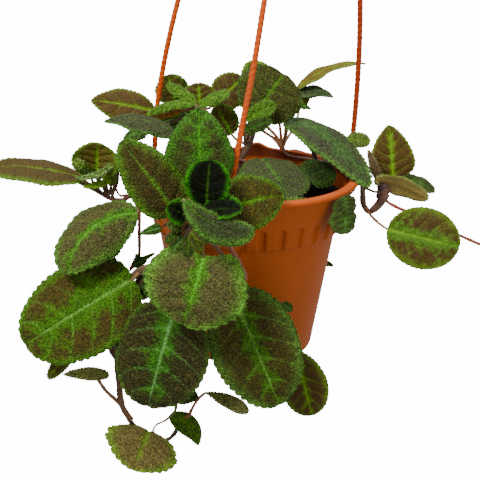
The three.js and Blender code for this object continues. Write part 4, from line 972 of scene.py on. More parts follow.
plantlet("left_plantlet_leaves", "left_plantlet", [
    leaf("grey", [-70.5, -60, -12], [-112.5, -86, -44.5], 41, [-0.35, -0.8, 0.5], [[-75, -36, -7],
         [-72, -48, -9]], 1.4, arch=0.13, fold=0.15, droop=0.65, sweep=0.14, teeth=4.6, bias=0.16),
    leaf("brown", [-107, -43, 5], [-168, -54, 13.5], 27, [0.05, -0.35, 0.93], [[-99, -42.5, -2]], 1.4,
         arch=0.08, fold=0.15, droop=0.35, bias=0.06, teeth=3.6, rib=0.25, paint=dict(flare=0.05,
         lateral=0.08, ground=srgb(76, 60, 22), margin=srgb(96, 142, 28), rim=2.2)),
    leaf("brown", [-98, -44, 6], [-96.5, -48, 31], 31, [0, -1, 0.4], [LEFT_FORK, [-94, -43, 0]], 1,
         arch=-0.05, fold=0.3, droop=-0.1, taper=1.1, point=0.85, bias=0.1, tone=1.15,
         paint=dict(ground=srgb(86, 74, 22), margin=srgb(92, 140, 30), rim=3.0, lateral=0.2)),
    leaf("green", [-84, -46, 20], [-110, -50, 8], 4.5, [-0.1, -1, 0.4], [[-88, -42, -7], [-86, -41, 6],
         [-84, -42, 16]], 1, sweep=-0.16, fuzz=2, paint=PALE_EDGE),
    leaf("brown", [-88, -45, 5.5], [-106, -48, 1.5], 5, [-0.1, -1, 0.4], [[-90, -43, -5]], 0.9, sweep=-0.06,
         paint=LIME_EDGE),
    leaf("brown", [-98.5, -47.5, 11], [-105.5, -49.5, 18], 3.2, [-0.2, -1, 0.3], [[-95, -46, 5]], 0.8,
         tone=0.4),
    leaf("dark", [-98, -46.5, 9], [-107, -50, 14], 4, [-0.2, -1, 0.3], [[-94, -45, 3]], 0.8, tone=0.5),
    leaf("green", [-88.5, -43, 1], [-88, -44, 11], 7, [0.1, -1, 0.3], [[-88, -42, -7]], 0.9, paint=LIME),
    leaf("green", [-105, -50, 14.5], [-110, -52, 20.5], 6.5, [-0.2, -1, 0.4], [[-97, -46, 6]], 0.8,
         tone=1.2, point=0.8, paint=LIME),
    leaf("dark", [-77, -40, -56], [-72.8, -42, -45.5], 4.2, [0.3, -1, 0.3], [[-77, -41, -58]], 0.8,
         sweep=0.15),
    leaf("dark", [-75, -41, -54.5], [-65.5, -43, -48], 6.5, [0, -0.9, 0.5], [[-77, -41, -57]], 0.8),
    leaf("olive", [-72.5, -41, -50.5], [-60.5, -43, -44.5], 3.8, [0, -0.6, 0.8], [[-74, -41, -55]], 0.8,
         sweep=0.12),
], [
    (2.3, 1.3, STEM_RUSSET, [*root("left", 1), [-61, -9, -2], [-66, -17, 5], [-72, -27, 4.6],
     [-75, -33, -2], [-79, -38, -8.5], [-84, -41, -9.5], LEFT_FORK, [-99, -42.5, -2], [-110, -43.5, 3.5]]),
    (1.3, 1.0, STEM_RUSSET, [[-88.6, -40, -6], [-85, -40, 3.2], [-84, -40, 15.6]]),
    (1.7, 1.3, STEM_RUSSET, [[-91, -42, -7], [-92, -42, 0], [-93, -43, 7]]),
    (0.8, 0.7, RUNNER_RED, [[-79, -37, -7], [-83.5, -39, -6.5], [-86, -39, -1], [-85.5, -39, 5]]),
    (1.0, 0.9, STEM_DARK, [[-93, -42, -6], [-98, -43, 0], [-101, -44, 5]]),
    (1.2, 1.1, RUNNER_RED, [[-74, -36, -7], [-71.5, -38, -12], [-71, -39, -31], [-72, -40, -50],
     [-77, -41, -57]]),
])

plantlet("middle_rosettes_leaves", "middle_rosettes", [
    leaf("brown", [-65, 32, 34.5], [-110.5, 32, 41.5], 24, [-0.1, -0.85, 0.55], [LEFT_HEART, [-52, 29, 39]],
         1.2, arch=0.06, droop=0.2, taper=0.95, point=1.6,
         paint=dict(lateral=0.35, ground=srgb(82, 60, 20))),
    leaf("grey", [-46, -10, 26], [-95, -16, 37], 29, [-0.1, -0.2, 0.98], [[-32, 12, 14], [-40, 0, 20]], 1.2,
         arch=0.14, droop=0.35, point=1.3, tone=0.85, rib=0.2,
         paint=dict(rim=1.5, flare=0.05, lateral=0.05, ground=srgb(66, 72, 44))),
    leaf("green", [-38, 19, 42.5], [-70, 10.5, 36], 8.5, [-0.1, -0.6, 0.8], [LEFT_HEART], 1.2, fold=0.1,
         droop=0.3, arch=0.14),
    leaf("green", [-46, 20, 38.5], [-69, 13, 35], 12, [-0.1, 0.9, 0.35], [LEFT_HEART, [-41, 20, 38.5]], 0.9,
         arch=0.05, paint=TOAST),
    leaf("green", [-37, 20, 43], [-57, 24, 55], 10, [-0.5, -0.3, 0.8], [LEFT_HEART], 1.1, arch=0.06,
         droop=0.3),
    leaf("green", [-34, 18, 42], [-14, 20, 51], 12, [0.3, -0.4, 0.85], [LEFT_HEART], 1.1, arch=0.08,
         droop=0.3, taper=1.0),
    leaf("olive", [-52, 44, 38], [-58, 46, 58], 24, [0, -0.9, 0.4], [LEFT_HEART, [-42, 32, 36]], 1.1,
         arch=0.05, droop=0.2, bias=0.15),
    leaf("brown", [-35, 36, 38], [-36, 38, 54], 24, [0, -0.9, 0.4], [LEFT_HEART, [-35, 28, 38]], 1.1,
         arch=0.05, droop=0.2),
    leaf("brown", [-24, 44, 38], [-5, 46, 57], 26, [0, -0.9, 0.4], [LEFT_HEART, [-29, 33, 37]], 1.1,
         arch=0.05, droop=0.2, taper=0.95),
    leaf("dark", [-70, 22, 23], [-87, 21, 16], 13, [-0.2, -0.6, 0.75], [LEFT_HEART, [-50, 20, 31]], 1,
         droop=0.3, tone=0.7),
    leaf("dark", [-43, 25, 36], [-60, 24, 27], 18, [-0.2, -0.8, 0.5], [LEFT_HEART], 1, droop=0.3),
    leaf("dusky", [2, 30, 31], [23, 36, 62], 47.5, [0.05, -1, 0.3], [RIGHT_HEART, [-1, 28, 22]], 1.5,
         arch=0.06, taper=1.3, point=0.75, tone=1.12),
    leaf("green", [-2, 20, 32], [18, 22, 43], 13, [0, -0.8, 0.6], [RIGHT_HEART, [-3, 22, 20]], 1.1,
         arch=0.05, fold=0.2, droop=0.1, taper=1.05, tone=0.92),
    leaf("moss", [-3, 15, 25.5], [16, 16, 33], 11, [0.1, -0.7, 0.7], [RIGHT_HEART, [-3, 18, 20]], 1.0,
         arch=0.08, fold=0.2, droop=0.3, tone=0.6, rib=0.3, paint=dict(rim=1.4)),
    leaf("olive", [-12, 28, 20], [-23, 30, 40], 20, [0, -0.9, 0.4], [RIGHT_HEART, [-8, 27, 16]], 1.1,
         arch=0.05, droop=0.2, bias=0.15),
    leaf("brown", [13, 46, 45], [-2, 48, 67.5], 24, [0, -0.9, 0.4], [RIGHT_HEART, [5, 38, 32]], 1.1,
         arch=0.05, droop=0.2, point=1.1, paint=LIME_EDGE),
], [
    (2.0, 1.6, STEM_DARK, [*root("rosette_left"), [-32, 12, 12], LEFT_HEART]),
    (2.2, 2.0, STEM_UMBER, [*root("rosette_right", -2), [-5.4, 24, 2.7], [-3, 24, 6.8], [0.4, 24, 14.3],
     [2.7, 24, 20.1], [2.5, 27, 26]]),
    (1.2, 1.1, STEM_DARK, [[-4, 25, 4], RIGHT_HEART]),
    (1.2, 1.1, STEM_PINK, [[-2, 25, 2], [-6, 17, 4], [-11, 13, 10], [-14, 12, 18.5], [-16.5, 12, 23.5],
     [-22, 13, 31.5], [-31, 16, 39.5], LEFT_HEART]),
])

plantlet("back_plantlet_leaves", "back_plantlet", [
    leaf("brown", [36, 88, 42], [85, 88, 61], 23, [-0.3, -0.15, 0.95], [[37, 88, 34]], 1, arch=0.11,
         droop=0.1, taper=0.5, point=1.8, paint=OCHRE),
    leaf("brown", [37, 88, 27], [47, 88, 43], 11, [-0.6, -0.7, 0.4], [[36, 87, 24]], 1, droop=0.2,
         paint=OCHRE),
    leaf("dusky", [36, 84, 40], [62, 80, 37], 15, [0.1, -0.5, 0.85], [[37, 86, 34]], 1, arch=0.16,
         droop=0.3, taper=0.55, point=1.7, tone=1.1, rib=0.2, paint=SLATE),
    leaf("dark", [34, 84, 30], [46, 82, 27.5], 7, [0.1, -0.4, 0.9], [[36, 86, 27]], 0.9, droop=0.3,
         taper=0.7, point=1.5, bias=0.15),
    leaf("olive", [10, 94, -20], [5, 100, -75], 44, [0, 1, 0.1], [BACK_HEART, [16, 90, -9]], 1.5,
         arch=0.08),
    leaf("dark", [32, 90, -18], [44, 90, -62], 34, [0.2, 1, 0.1], [BACK_HEART, [29, 87, -10]], 1.4,
         arch=0.08),
    leaf("grey", [-22, 88, -9], [-48, 92, -48], 36, [-0.2, 1, 0.2], [BACK_HEART, [2, 86, -4]], 1.4,
         arch=0.1),
    leaf("olive", [46, 76, -6], [76, 78, -28], 28, [0.3, 0.6, 0.7], [BACK_HEART, [36, 81, -4]], 1.3,
         arch=0.06),
    leaf("brown", [56, 72, -88], [66.5, 68, -90.5], 4.5, [0.2, -0.8, 0.6], [BACK_HEART, [28, 84, -30],
         [36, 80, -66]], 0.9, tone=0.4),
], [
    (1.5, 0.9, STEM_DRY, [*root("back", 1), [52, 38, -7], [53, 41, -2.4], [43, 52, -2.8], [31, 60, -3.2],
     [27, 63, -1.6], [26, 67, 0.9], [25.5, 73, 1.0], BACK_RIM]),
    (1.2, 1.2, STEM_DARK, [BACK_RIM, BACK_HEART]),
    # These fan stems carry painted light in their colour
    (1.2, 1.1, STEM_FAWN_AND_PAINTED_LIGHT, [BACK_RIM, [19, 76, 6], [12.5, 69, 12], [8, 54, 18.5], [3, 40, 24]]),
    (1.2, 1.1, STEM_FAWN_AND_PAINTED_LIGHT, [BACK_RIM, [21, 76, 7], [16, 69, 14], [12, 54, 21], [8, 40, 26]]),
    (1.2, 1.1, STEM_FAWN_AND_PAINTED_LIGHT, [BACK_RIM, [24, 77, 7], [22.5, 70, 18], [21, 60, 26], [17, 48, 32]]),
    (1.6, 1.4, STEM_TAN, [BACK_RIM, [27, 77, 7], [27.5, 68, 17], [27, 56, 24], [22, 44, 32]]),
    (1.0, 1.0, STEM_FAWN_AND_PAINTED_LIGHT, [BACK_RIM, [29, 80, 6], [33.5, 84, 13], [37, 87, 25], [37, 88, 42]]),
])

plantlet("right_shoot_leaves", "right_shoot", [
    leaf("banded", [26.5, 46, 27], [81, -20, -3], 31, [0.2, -0.5, 0.85], [SHOOT_NECK, [36, 41, 18]], 1.5,
         arch=0.125, droop=0.3, taper=0.9, point=1.2, teeth=4.0, bite=0.36, bias=0.1),
    leaf("green", [67.8, 14, 22], [83.6, 14, 20], 11, [0, -0.9, 0.45], [SHOOT_NECK, [58, 22, 12]], 1.0,
         arch=0.05, droop=0.2, taper=1.0, point=0.9, tone=0.85, paint=LIME),
], [
    (1.7, 1.6, STEM_DARK, [*root("right_shoot"), SHOOT_NECK]),
])

plantlet("right_plantlet_leaves", "right_plantlet", [
    leaf("brown", [100, 10, -4], [96, 14, 31.8], 32, [0.05, -1, 0.2], [RIGHT_HEART_LOW, [98, 6, -8]], 1.2,
         arch=0.05, fold=0.12, taper=0.52, point=1.35, droop=0.1, bite=0.14, tone=1.2, paint=STRONG_VEINS),
    leaf("brown", [86.5, -3, -2.5], [123, -6, -15], 22, [0.1, 0.75, 0.65], [RIGHT_HEART_LOW], 1.4,
         arch=0.08, droop=0.2, paint=PLUM_BACK),
    leaf("dark", [105, 16, -6], [130, 12, -14], 15, [0.2, -0.6, 0.8], [RIGHT_HEART_LOW, [98, 9, -8]], 1.1,
         droop=0.3, bias=0.1, rib=0.2, tone=0.75, paint=BOTTLE),
    leaf("brown", [91.2, 3, -6], [81.6, 4, 16.4], 6.6, [-0.3, -0.8, 0.5], [RIGHT_HEART_LOW], 1.6, droop=0.3,
         taper=0.7, bite=0.1, paint=PLUM),
    leaf("brown", [95.5, -14, -34], [144, -20, -44], 42, [0.05, -1, 0.25], [[80.5, -8, -21],
         [82.5, -11, -23.5], [87.8, -12, -29]], 1.1, arch=0.04, fold=0.08, droop=0.15, taper=1.0, teeth=3.4,
         bite=0.16, bias=0.24, petiole_colour=STEM_RUST, petiole_end=STEM_RUST,
         paint=dict(lateral=0.3, mottle=0.6, flare=0.24, rim=3.2, green=srgb(78, 122, 26))),
    leaf("dark", [62, -46, -2.6], [64.5, -47.5, -15], 20, [0.62, -0.78, 0.05], [[79, 8, -9], [73.2, -6, -6],
         [70.6, -20, -6], [64.8, -35, -5.6]], 0.7, arch=0.03, fold=0.05, droop=0.15, point=0.8, bias=0.1,
         tone=0.85, rib=0.3, paint=BOTTLE),
    leaf("dark", [62, -47.5, -9.5], [63.5, -50, -26.5], 23, [0.6, -0.78, 0.1], [[64, -42, -6]], 0.8,
         arch=0.04, fold=0.05, droop=0.2, point=0.85, bias=0.2, rib=0.35, paint=BOTTLE),
], [
    (2.2, 2.0, STEM_UMBER, [*root("right_plantlet", 1), [54, 34, -2], [60, 39, 4], [66, 43, 3],
     [76, 30, -4], [79, 10, -8], RIGHT_FORK, [83.5, -7, -24], [90, -4.5, -20.5], [95.5, -4, -12.5]]),
    (1.6, 3.0, STEM_RUSSET, [[84, -7.5, -23.5], [89, -5, -18.5], [93, -2.5, -13], [95, -1, -9]]),
    (1.6, 2.6, STEM_MAUVE, [[90.5, -3, -17], [90.5, 0, -10], [91, 1, -4]]),
    (1.6, 2.0, STEM_MAUVE, [[89, -2, -15], [92, -2, -10], [94, -3, -6]]),
    (0.9, 0.9, STEM_UMBER, [[79, -2, -8], [86, -4, -10.5], [93, -2, -12]]),
    (1.15, 1.1, RUNNER_RED, [[93, -1, -15], [96, -3, -18], [107, -6, -23], [126, -8, -30.5],
     [146, -10, -39], [166, -12, -47]]),
])

plantlet("inner_leaf_left_blade", "inner_leaf_left", [
    leaf("dusky", [9, 6, 8], [27, -44.5, -5], 46, [0.1, -0.35, 0.93], [*root("inner_left"), [12, 11, 2]],
         1.3, arch=0.05, tone=0.95, rib=0.4,
         paint=dict(rim=2.6, ground=srgb(62, 68, 36), green=srgb(58, 98, 34))),
    leaf("green", [23, -49.5, -5.5], [37, -50.5, -3.3], 3, [0.1, -0.6, 0.8], [[18, -40, -4]], 0.7, tone=0.7,
         paint=LIME),
])

plantlet("inner_leaf_right_blade", "inner_leaf_right", [
    leaf("moss", [38, -8, -1], [58, 10, 2], 25, [0.1, -0.6, 0.8], [*root("inner_right", 1), [34, -6, -6]],
         1.1, arch=0.05, tone=0.42, rib=0.3, paint=dict(ground=srgb(46, 54, 30), green=srgb(44, 88, 40))),
])


def add_bud(gather, centre, size, rng):
    """A small fuzzy ball of unopened leaves."""
    rings, sides = 9, 14
    latitude = np.linspace(0.12, math.pi - 0.12, rings)[:, None]
    longitude = np.linspace(0, 2 * math.pi, sides, endpoint=False)[None, :]
    lump = 1 + 0.12 * np.sin(3 * longitude + 5 * latitude) + 0.08 * np.sin(7 * longitude)
    ways = np.stack([np.sin(latitude) * np.cos(longitude), np.sin(latitude) * np.sin(longitude),
                     np.cos(latitude) * np.ones_like(longitude)], -1)
    points = np.array(centre) + ways * (size * lump)[..., None]
    poles = np.array(centre) + np.array([[0, 0, size], [0, 0, -size]])
    points, ways = points.reshape(-1, 3), ways.reshape(-1, 3)
    tints = BUD_TINT * rng.uniform(0.6, 1.3, (len(points) + 2, 1))
    gather.add(np.concatenate([points, poles]), ring_triangles(rings, sides, True), tints, BLADE_KIND)
    picks = rng.integers(0, len(points), BUD_HAIRS)
    lengths = rng.uniform(*BUD_HAIR_LENGTHS, BUD_HAIRS)
    add_hairs(gather, points[picks], ways[picks], lengths, BUD_HAIR_RADIUS, BUD_HAIR_TINT)


def build_plant():
    seed = FIRST_SEED
    for name, node, leaves, stems, buds in PLANT:
        gather = Gather()
        rng = np.random.default_rng(seed)
        for made in leaves:
            seed += SEED_STEP
            add_leaf(gather, made, seed)
        for start_radius, end_radius, colour, points in stems:
            add_stem(gather, points, start_radius, rng, colour, end_radius)
        for centre, size in buds:
            add_bud(gather, centre, size, rng)
        gather.build(name, PLANT_MATERIALS, [node])
        seed += PIECE_SEED_STEP


# The pot and its fill: colours, then sizes in millimetres. The lip's colour is a painted highlight, the inner
# wall's is painted light, and the inner wall's top band under the lip has painted shade.
POT_LIT = srgb(190, 80, 0)
POT_BODY = srgb(172, 79, 4)
POT_INSIDE_PAINTED_LIGHT = srgb(208, 92, 8)
POT_SHADE = srgb(120, 48, 8)
SOIL_TINT = srgb(20, 16, 13)
SHADE_DEPTH = 6.0
POINTS_PER_FLUTE = 14
LIP_ROWS = 12
FOOT_DIP = 0.5
CENTRE_GAP = 0.01
BASE_BULGE = 0.6
COLLAR_ROUND = (1.1, 0.9)
LIP_FOOT_ROUND = (1.3, 1.2)
LIP_TOP_ROUND = (2.2, 1.8)
LIP_INNER_ROUND = (1.4, 1.2)
INNER_TOP_Z = -0.6
BODY_ROWS, COLLAR_ROWS, INNER_ROWS = 26, 44, 14
FLUTE_EDGE = (-0.5, 0.35)
HUMP_SPREAD = HUMP_WIDTH / 3.2
SOIL_GAP = 0.6


def body_radius(z):
    return BASE_RADIUS + (BODY_TOP_RADIUS - BASE_RADIUS) * (z - BASE_Z) / (COLLAR_FOOT_Z - BASE_Z)


def collar_radius(z):
    share = (z - COLLAR_FOOT_Z) / (-LIP_HEIGHT - COLLAR_FOOT_Z)
    return COLLAR_FOOT_RADIUS + (COLLAR_TOP_RADIUS - COLLAR_FOOT_RADIUS) * share


def inner_radius(z):
    if z > COLLAR_FOOT_Z:
        foot = COLLAR_FOOT_RADIUS - 2 * WALL
        return foot + (RIM_INNER_RADIUS - foot) * (z - COLLAR_FOOT_Z) / (INNER_TOP_Z - COLLAR_FOOT_Z)
    foot = BASE_RADIUS - WALL
    top = COLLAR_FOOT_RADIUS - 2 * WALL
    return foot + (top - foot) * (z - BASE_Z - FLOOR) / (COLLAR_FOOT_Z - BASE_Z - FLOOR)


def arc(corner, inward, size, start, end, count):
    """Points round a corner of an outline. The arc's centre lies inward of the corner by the arc's size."""
    r, z = corner[0] + inward[0] * size[0], corner[1] + inward[1] * size[1]
    turns = np.radians(np.linspace(start, end, count))
    return [(r + size[0] * math.cos(turn), z + size[1] * math.sin(turn)) for turn in turns]


def pot_profile():
    """Outline points from the middle of the base, up the outside, over the lip and down the inside."""
    outline = [(r, BASE_Z) for r in (CENTRE_GAP, 15, 30, BASE_RADIUS - BASE_ROUND - 1)]
    outline += arc((BASE_RADIUS + BASE_BULGE, BASE_Z), (-1, 1), (BASE_ROUND, BASE_ROUND), -90, -8, 7)
    body = np.linspace(BASE_Z + BASE_ROUND + 2, COLLAR_FOOT_Z - 1.2, BODY_ROWS)
    outline += [(body_radius(z), z) for z in body]
    outline += arc((COLLAR_FOOT_RADIUS, COLLAR_FOOT_Z), (-1, 1), COLLAR_ROUND, -100, 0, 5)
    collar = np.linspace(COLLAR_FOOT_Z + 1.6, -LIP_HEIGHT - 0.8, COLLAR_ROWS)
    outline += [(collar_radius(z), z) for z in collar]
    outline += [(COLLAR_TOP_RADIUS + 0.5, -LIP_HEIGHT + 0.05)]
    outline += arc((RIM_RADIUS, -LIP_HEIGHT), (-1, 1), LIP_FOOT_ROUND, -80, 0, 6)
    outline += arc((RIM_RADIUS, 0), (-1, -1), LIP_TOP_ROUND, 0, 90, 9)
    outline += arc((RIM_INNER_RADIUS, 0), (1, -1), LIP_INNER_ROUND, 90, 180, 6)
    for top, bottom in ((-2, COLLAR_FOOT_Z), (COLLAR_FOOT_Z - 4, BASE_Z + FLOOR + 3)):
        outline += [(inner_radius(z), z) for z in np.linspace(top, bottom, INNER_ROWS)]
    outline += [(r, BASE_Z + FLOOR) for r in (BASE_RADIUS - WALL - 1.5, 30, 15, CENTRE_GAP)]
    return np.array(outline)


def build_pot():
    """The outline turned round the pot's axis, with its flutes, its raised place and its tones: painted light
    on the lip and the inner wall, painted shade under the lip.
    """
    profile = pot_profile()
    sides = FLUTES * POINTS_PER_FLUTE
    angles = np.linspace(0, 360, sides, endpoint=False)
    turns = np.radians(angles)[None, :]
    radius = np.repeat(profile[:, :1], sides, 1)
    height = np.repeat(profile[:, 1:], sides, 1)
    order = np.arange(len(profile))
    widest = np.argmax(profile[:, 0])
    outside = (order < widest)[:, None]
    # Arched flutes at the collar's foot
    pitch = 360 / FLUTES
    turn = (angles - FIRST_FLUTE_ANGLE + pitch / 2) % pitch - pitch / 2
    offset = np.radians(turn)[None, :] * radius
    above = np.maximum(height - (COLLAR_FOOT_Z + FLUTE_HEIGHT - FLUTE_WIDTH / 2), 0)
    reach = np.hypot(offset, above)
    inside = 1 - smoothstep(*FLUTE_EDGE, reach - FLUTE_WIDTH / 2)
    on_collar = outside & (height > COLLAR_FOOT_Z - 0.5) & (height < -LIP_HEIGHT - 1)
    radius = radius - FLUTE_DEPTH * inside * on_collar
    # The foot of the collar dips a little at each flute and rises between them
    foot = outside & (height > COLLAR_FOOT_Z - 0.5) & (height < COLLAR_FOOT_Z + 3)
    height = height - FOOT_DIP * np.cos(np.radians(turn) * FLUTES)[None, :] * foot
    # The raised place on the back of the rim
    away = np.radians((angles - HUMP_ANGLE + 180) % 360 - 180) * STRAND_CIRCLE
    hump = np.exp(-((away / HUMP_SPREAD) ** 2))[None, :]
    on_lip = smoothstep(-2.5, -0.2, height) * (radius > RIM_INNER_RADIUS - 1)
    height = height + HUMP_HEIGHT * hump * on_lip
    # The wall is a little uneven, as thin moulded plastic is
    radius = radius * (1 + 0.0012 * np.sin(3 * turns + 0.6) + 0.0008 * np.sin(5 * turns + height / 25))
    points = np.stack([radius * np.sin(turns), -radius * np.cos(turns), height], -1)
    inner = order > widest + LIP_ROWS
    lip = profile[:, 1] > -LIP_HEIGHT - 0.2
    # Painted light and shade: the lip lighter, the inner wall lighter still, the inner wall under the lip
    # darker
    colours = np.where(inner[:, None], POT_INSIDE_PAINTED_LIGHT, np.where(lip[:, None], POT_LIT, POT_BODY))
    under_lip = inner & (profile[:, 1] > -SHADE_DEPTH)
    colours = np.where(under_lip[:, None], POT_SHADE, colours)
    centres = np.array([[0, 0, BASE_Z], [0, 0, BASE_Z + FLOOR]])
    gather = Gather()
    gather.add(np.concatenate([points.reshape(-1, 3), centres]), ring_triangles(len(profile), sides),
               np.concatenate([np.repeat(colours, sides, 0), [POT_BODY, POT_INSIDE_PAINTED_LIGHT]]))
    gather.build("pot_shell", [POT_PLASTIC], ["pot"])


def build_soil():
    """A filled body with a rough crown of small clods."""
    sides, rings = 150, 60
    floor = BASE_Z + FLOOR + 0.4
    edge = inner_radius(SOIL_TOP_Z) - 0.5
    radii = np.linspace(0.5, edge, rings)[:, None]
    turns = np.linspace(0, 2 * math.pi, sides, endpoint=False)[None, :]
    x, y = radii * np.cos(turns), radii * np.sin(turns)
    crown = SOIL_CROWN * (1 - (radii / edge) ** 2) * np.ones_like(turns)
    near, _, _ = cells(x / 4.2, y / 4.2, 5)
    small, _, _ = cells(x / 1.9, y / 1.9, 9)
    clods = 1.5 * (0.55 - near) + 0.7 * (0.5 - small) + 2.2 * (soft_noise(x / 13, y / 13, 3) - 0.5)
    clods = clods * (1 - smoothstep(0.9, 1.0, radii / edge))
    top = np.stack([x, y, SOIL_TOP_Z + crown + clods], -1)
    walls = []
    for z in (SOIL_TOP_Z - 1, COLLAR_FOOT_Z, floor + 2, floor):
        r = inner_radius(z) - SOIL_GAP
        walls.append(np.stack([r * np.cos(turns[0]), r * np.sin(turns[0]), np.full(sides, z)], -1))
    points = np.concatenate([top, np.array(walls)])
    centres = np.array([[0, 0, SOIL_TOP_Z + SOIL_CROWN], [0, 0, floor]])
    gather = Gather()
    gather.add(np.concatenate([points.reshape(-1, 3), centres]), ring_triangles(len(points), sides, True),
               SOIL_TINT)
    gather.build("soil_fill", [SOIL], ["soil"])


# The hanger
HUB_FOOT_Z = HOOK_POINT[2] - 2 * HOOK_INNER_RADIUS - HOOK_WIDTH - HUB_HEIGHT
STRAND_LINES = {
    "front": [[-9.6, -70.2, 14], [-4.3, -64.8, 47], [1.2, -59.9, 77], [7.9, -53, 122], [17, -43.5, 180],
              [30, -29.5, 265], [42, -17, 340]],
    "left": [[-65.7, 27.3, 14], [-63.4, 25, 43], [-57.5, 22.2, 77], [-49, 19.3, 113], [-30, 13.7, 180],
             [-3, 6.6, 260], [26, -0.6, 340]],
    "right": [[71.8, 18.8, 22], [73.1, 16.8, 56], [73, 14.6, 90], [72, 12.8, 116], [69, 8.8, 180],
              [64.3, 4.2, 260], [58.5, -0.8, 340]],
}
STRAND_TINT = srgb(206, 80, 2)
SHADED_STRAND_TINT = srgb(170, 54, 6)
STRAND_STEP = 0.55
STRAND_SIDES = 14
PLY_DEPTH = 0.07
GROOVE_SHADE = 0.8
HOOK_STEP = 0.7
HOOK_SIDES = 20
HOOK_TURNS = (-84, 203)
HUB_SIDES = 48
HUB_BEVEL = 0.8
HUB_SIDE = 3.6
HUB_DOME = 1.4
HUB_TOP_RADIUS = 2.6


def build_strand(name):
    """Two plies that wind round each other, moulded in one."""
    angle = STRAND_ANGLES[name]
    foot = [around(angle, STRAND_CIRCLE, -SOCKET_DEPTH), around(angle, STRAND_CIRCLE, 1.5)]
    socket = around(angle, HUB_SOCKET_CIRCLE, 0) + np.array([HOOK_POINT[0], HOOK_POINT[1], 0])
    head = [[socket[0], socket[1], HUB_FOOT_Z - 6], [socket[0], socket[1], HUB_FOOT_Z + SOCKET_DEPTH]]
    line, spots = smooth_line([*foot, *STRAND_LINES[name], *head], STRAND_STEP)
    loose = soft_noise(spots / 23, spots * 0, 3)
    turns = 2 * np.pi * (spots / STRAND_PLY_PITCH + 0.25 * loose)

    def plies(angles):
        return 1 + PLY_DEPTH * np.cos(2 * (angles[None, :] - turns[:, None]))

    tint = SHADED_STRAND_TINT if name == "right" else STRAND_TINT
    gather = Gather()
    add_tube(gather, line, STRAND_RADIUS, tint, 0, STRAND_SIDES, plies)
    # Painted shade: the groove between the plies is darker than their ridges
    ridge = plies(np.linspace(0, 2 * np.pi, STRAND_SIDES, endpoint=False)).reshape(-1, 1)
    shade = GROOVE_SHADE + (1 - GROOVE_SHADE) * smoothstep(1 - PLY_DEPTH, 1.05, ridge)
    gather.colours[0] = np.concatenate([tint * shade, [tint, tint]])
    gather.build("strand_" + name, [STRAND_PLASTIC], ["hanger_strand_" + name])


def build_hook():
    """A domed hub with an open hook of rounded section."""
    top = HUB_HEIGHT + HUB_DOME
    profile = [(CENTRE_GAP, 0), (HUB_RADIUS - HUB_BEVEL, 0), (HUB_RADIUS, HUB_BEVEL), (HUB_RADIUS, HUB_SIDE)]
    profile += arc((HUB_RADIUS, top), (-1, -1), (HUB_RADIUS, top - HUB_SIDE), 12, 66, 8)
    profile += [(HUB_TOP_RADIUS, top), (CENTRE_GAP, top + 0.1)]
    profile = np.array(profile)
    turns = np.linspace(0, 2 * math.pi, HUB_SIDES, endpoint=False)
    points = np.stack([profile[:, :1] * np.cos(turns), profile[:, :1] * np.sin(turns),
                       np.repeat(profile[:, 1:], HUB_SIDES, 1)], -1)
    centres = np.array([[0, 0, 0], [0, 0, top + 0.1]])
    foot = np.array([HOOK_POINT[0], HOOK_POINT[1], HUB_FOOT_Z])
    gather = Gather()
    gather.add(np.concatenate([points.reshape(-1, 3), centres]) + foot,
               ring_triangles(len(profile), HUB_SIDES), STRAND_TINT)
    middle = HOOK_INNER_RADIUS + HOOK_WIDTH / 2
    way = [[0, 0, -2 * HOOK_INNER_RADIUS - HOOK_WIDTH - 3]]
    for turn in np.radians(np.linspace(*HOOK_TURNS, 40)):
        way.append([middle * math.cos(turn), 0, middle * math.sin(turn) - HOOK_INNER_RADIUS])
    line, _ = smooth_line(np.array(way) + HOOK_POINT, HOOK_STEP)

    def section(angles):
        """A square with round corners, as shares of the radius."""
        return (np.cos(angles) ** 4 + np.sin(angles) ** 4) ** -0.25

    add_tube(gather, line, HOOK_THICKNESS / 2 * 0.94, STRAND_TINT, 0, HOOK_SIDES, section)
    gather.build("hook_and_hub", [STRAND_PLASTIC], ["hanger_hook"])


# Room and light: metres and watts. A light has its place, its width and its power.
FLOOR_DROP = 0.28
FLOOR_REACH = 40
FLOOR_GLOW = 14.0
ROOM_GLOW = 0.52
LIGHT_TARGET = np.array([-20.0, -20.0, -30.0])
LIGHTS = {
    "key": ((-0.8, -1.0, 0.85), 0.45, 33),
    "fill": ((1.2, -1.1, -0.2), 1.2, 7),
    "top": ((0.1, 0.5, 0.9), 1.0, 14),
}


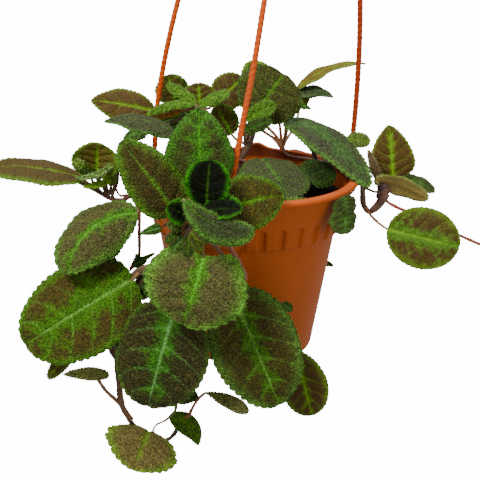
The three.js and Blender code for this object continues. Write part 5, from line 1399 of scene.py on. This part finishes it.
def build_stage():
    """A pale floor that the camera sees and that sends no light onto the object."""
    z = cad_low[2] - FLOOR_DROP
    far = FLOOR_REACH
    mesh = bpy.data.meshes.new("floor")
    mesh.from_pydata([(-far, -far, z), (far, -far, z), (far, far, z), (-far, far, z)], [], [(0, 1, 2, 3)])
    floor = bpy.data.objects.new("floor", mesh)
    bpy.context.scene.collection.objects.link(floor)
    mesh.materials.append(Skin("pale_floor").finish({
        "Base Color": (0.9, 0.9, 0.9, 1),
        "Roughness": 0.9,
        "Emission Color": (1, 1, 1, 1),
        "Emission Strength": FLOOR_GLOW,
    }))
    floor.visible_diffuse = False
    floor.visible_glossy = False
    floor.visible_shadow = False


def build_light():
    target = Vector((LIGHT_TARGET - HOOK_POINT) * MM)
    for name, (place, size, power) in LIGHTS.items():
        data = bpy.data.lights.new(name, "AREA")
        data.shape = "DISK"
        data.size = size
        data.energy = power
        lamp = bpy.data.objects.new(name, data)
        lamp.location = place
        lamp.rotation_mode = "QUATERNION"
        lamp.rotation_quaternion = (target - Vector(place)).to_track_quat("-Z", "Y")
        bpy.context.scene.collection.objects.link(lamp)
    world = bpy.data.worlds.new("studio")
    bpy.context.scene.world = world
    world.use_nodes = True
    background = world.node_tree.nodes["Background"]
    background.inputs["Color"].default_value = (1, 1, 1, 1)
    background.inputs["Strength"].default_value = ROOM_GLOW


def build_camera():
    data = bpy.data.cameras.new("camera")
    data.lens = CAMERA_LENS
    data.sensor_width = SENSOR_WIDTH
    data.clip_start = CLIP_NEAR
    data.clip_end = CLIP_FAR
    forward = unit(CAMERA_TARGET - CAMERA_PLACE)
    level = unit(np.cross(forward, [0, 0, 1]))
    upright = np.cross(level, forward)
    right = math.cos(CAMERA_ROLL) * level + math.sin(CAMERA_ROLL) * upright
    up = -math.sin(CAMERA_ROLL) * level + math.cos(CAMERA_ROLL) * upright
    place = (CAMERA_PLACE - HOOK_POINT) * MM
    rows = np.stack([right, up, -forward], 1)
    matrix = Matrix([[*rows[i], place[i]] for i in range(3)] + [[0, 0, 0, 1]])
    camera = bpy.data.objects.new("camera", data)
    camera.matrix_world = matrix
    bpy.context.scene.collection.objects.link(camera)
    bpy.context.scene.camera = camera


build_camera()
build_light()
build_stage()
build_pot()
build_soil()
for strand_name in STRAND_ANGLES:
    build_strand(strand_name)
build_hook()
build_plant()

bpy.context.view_layer.update()
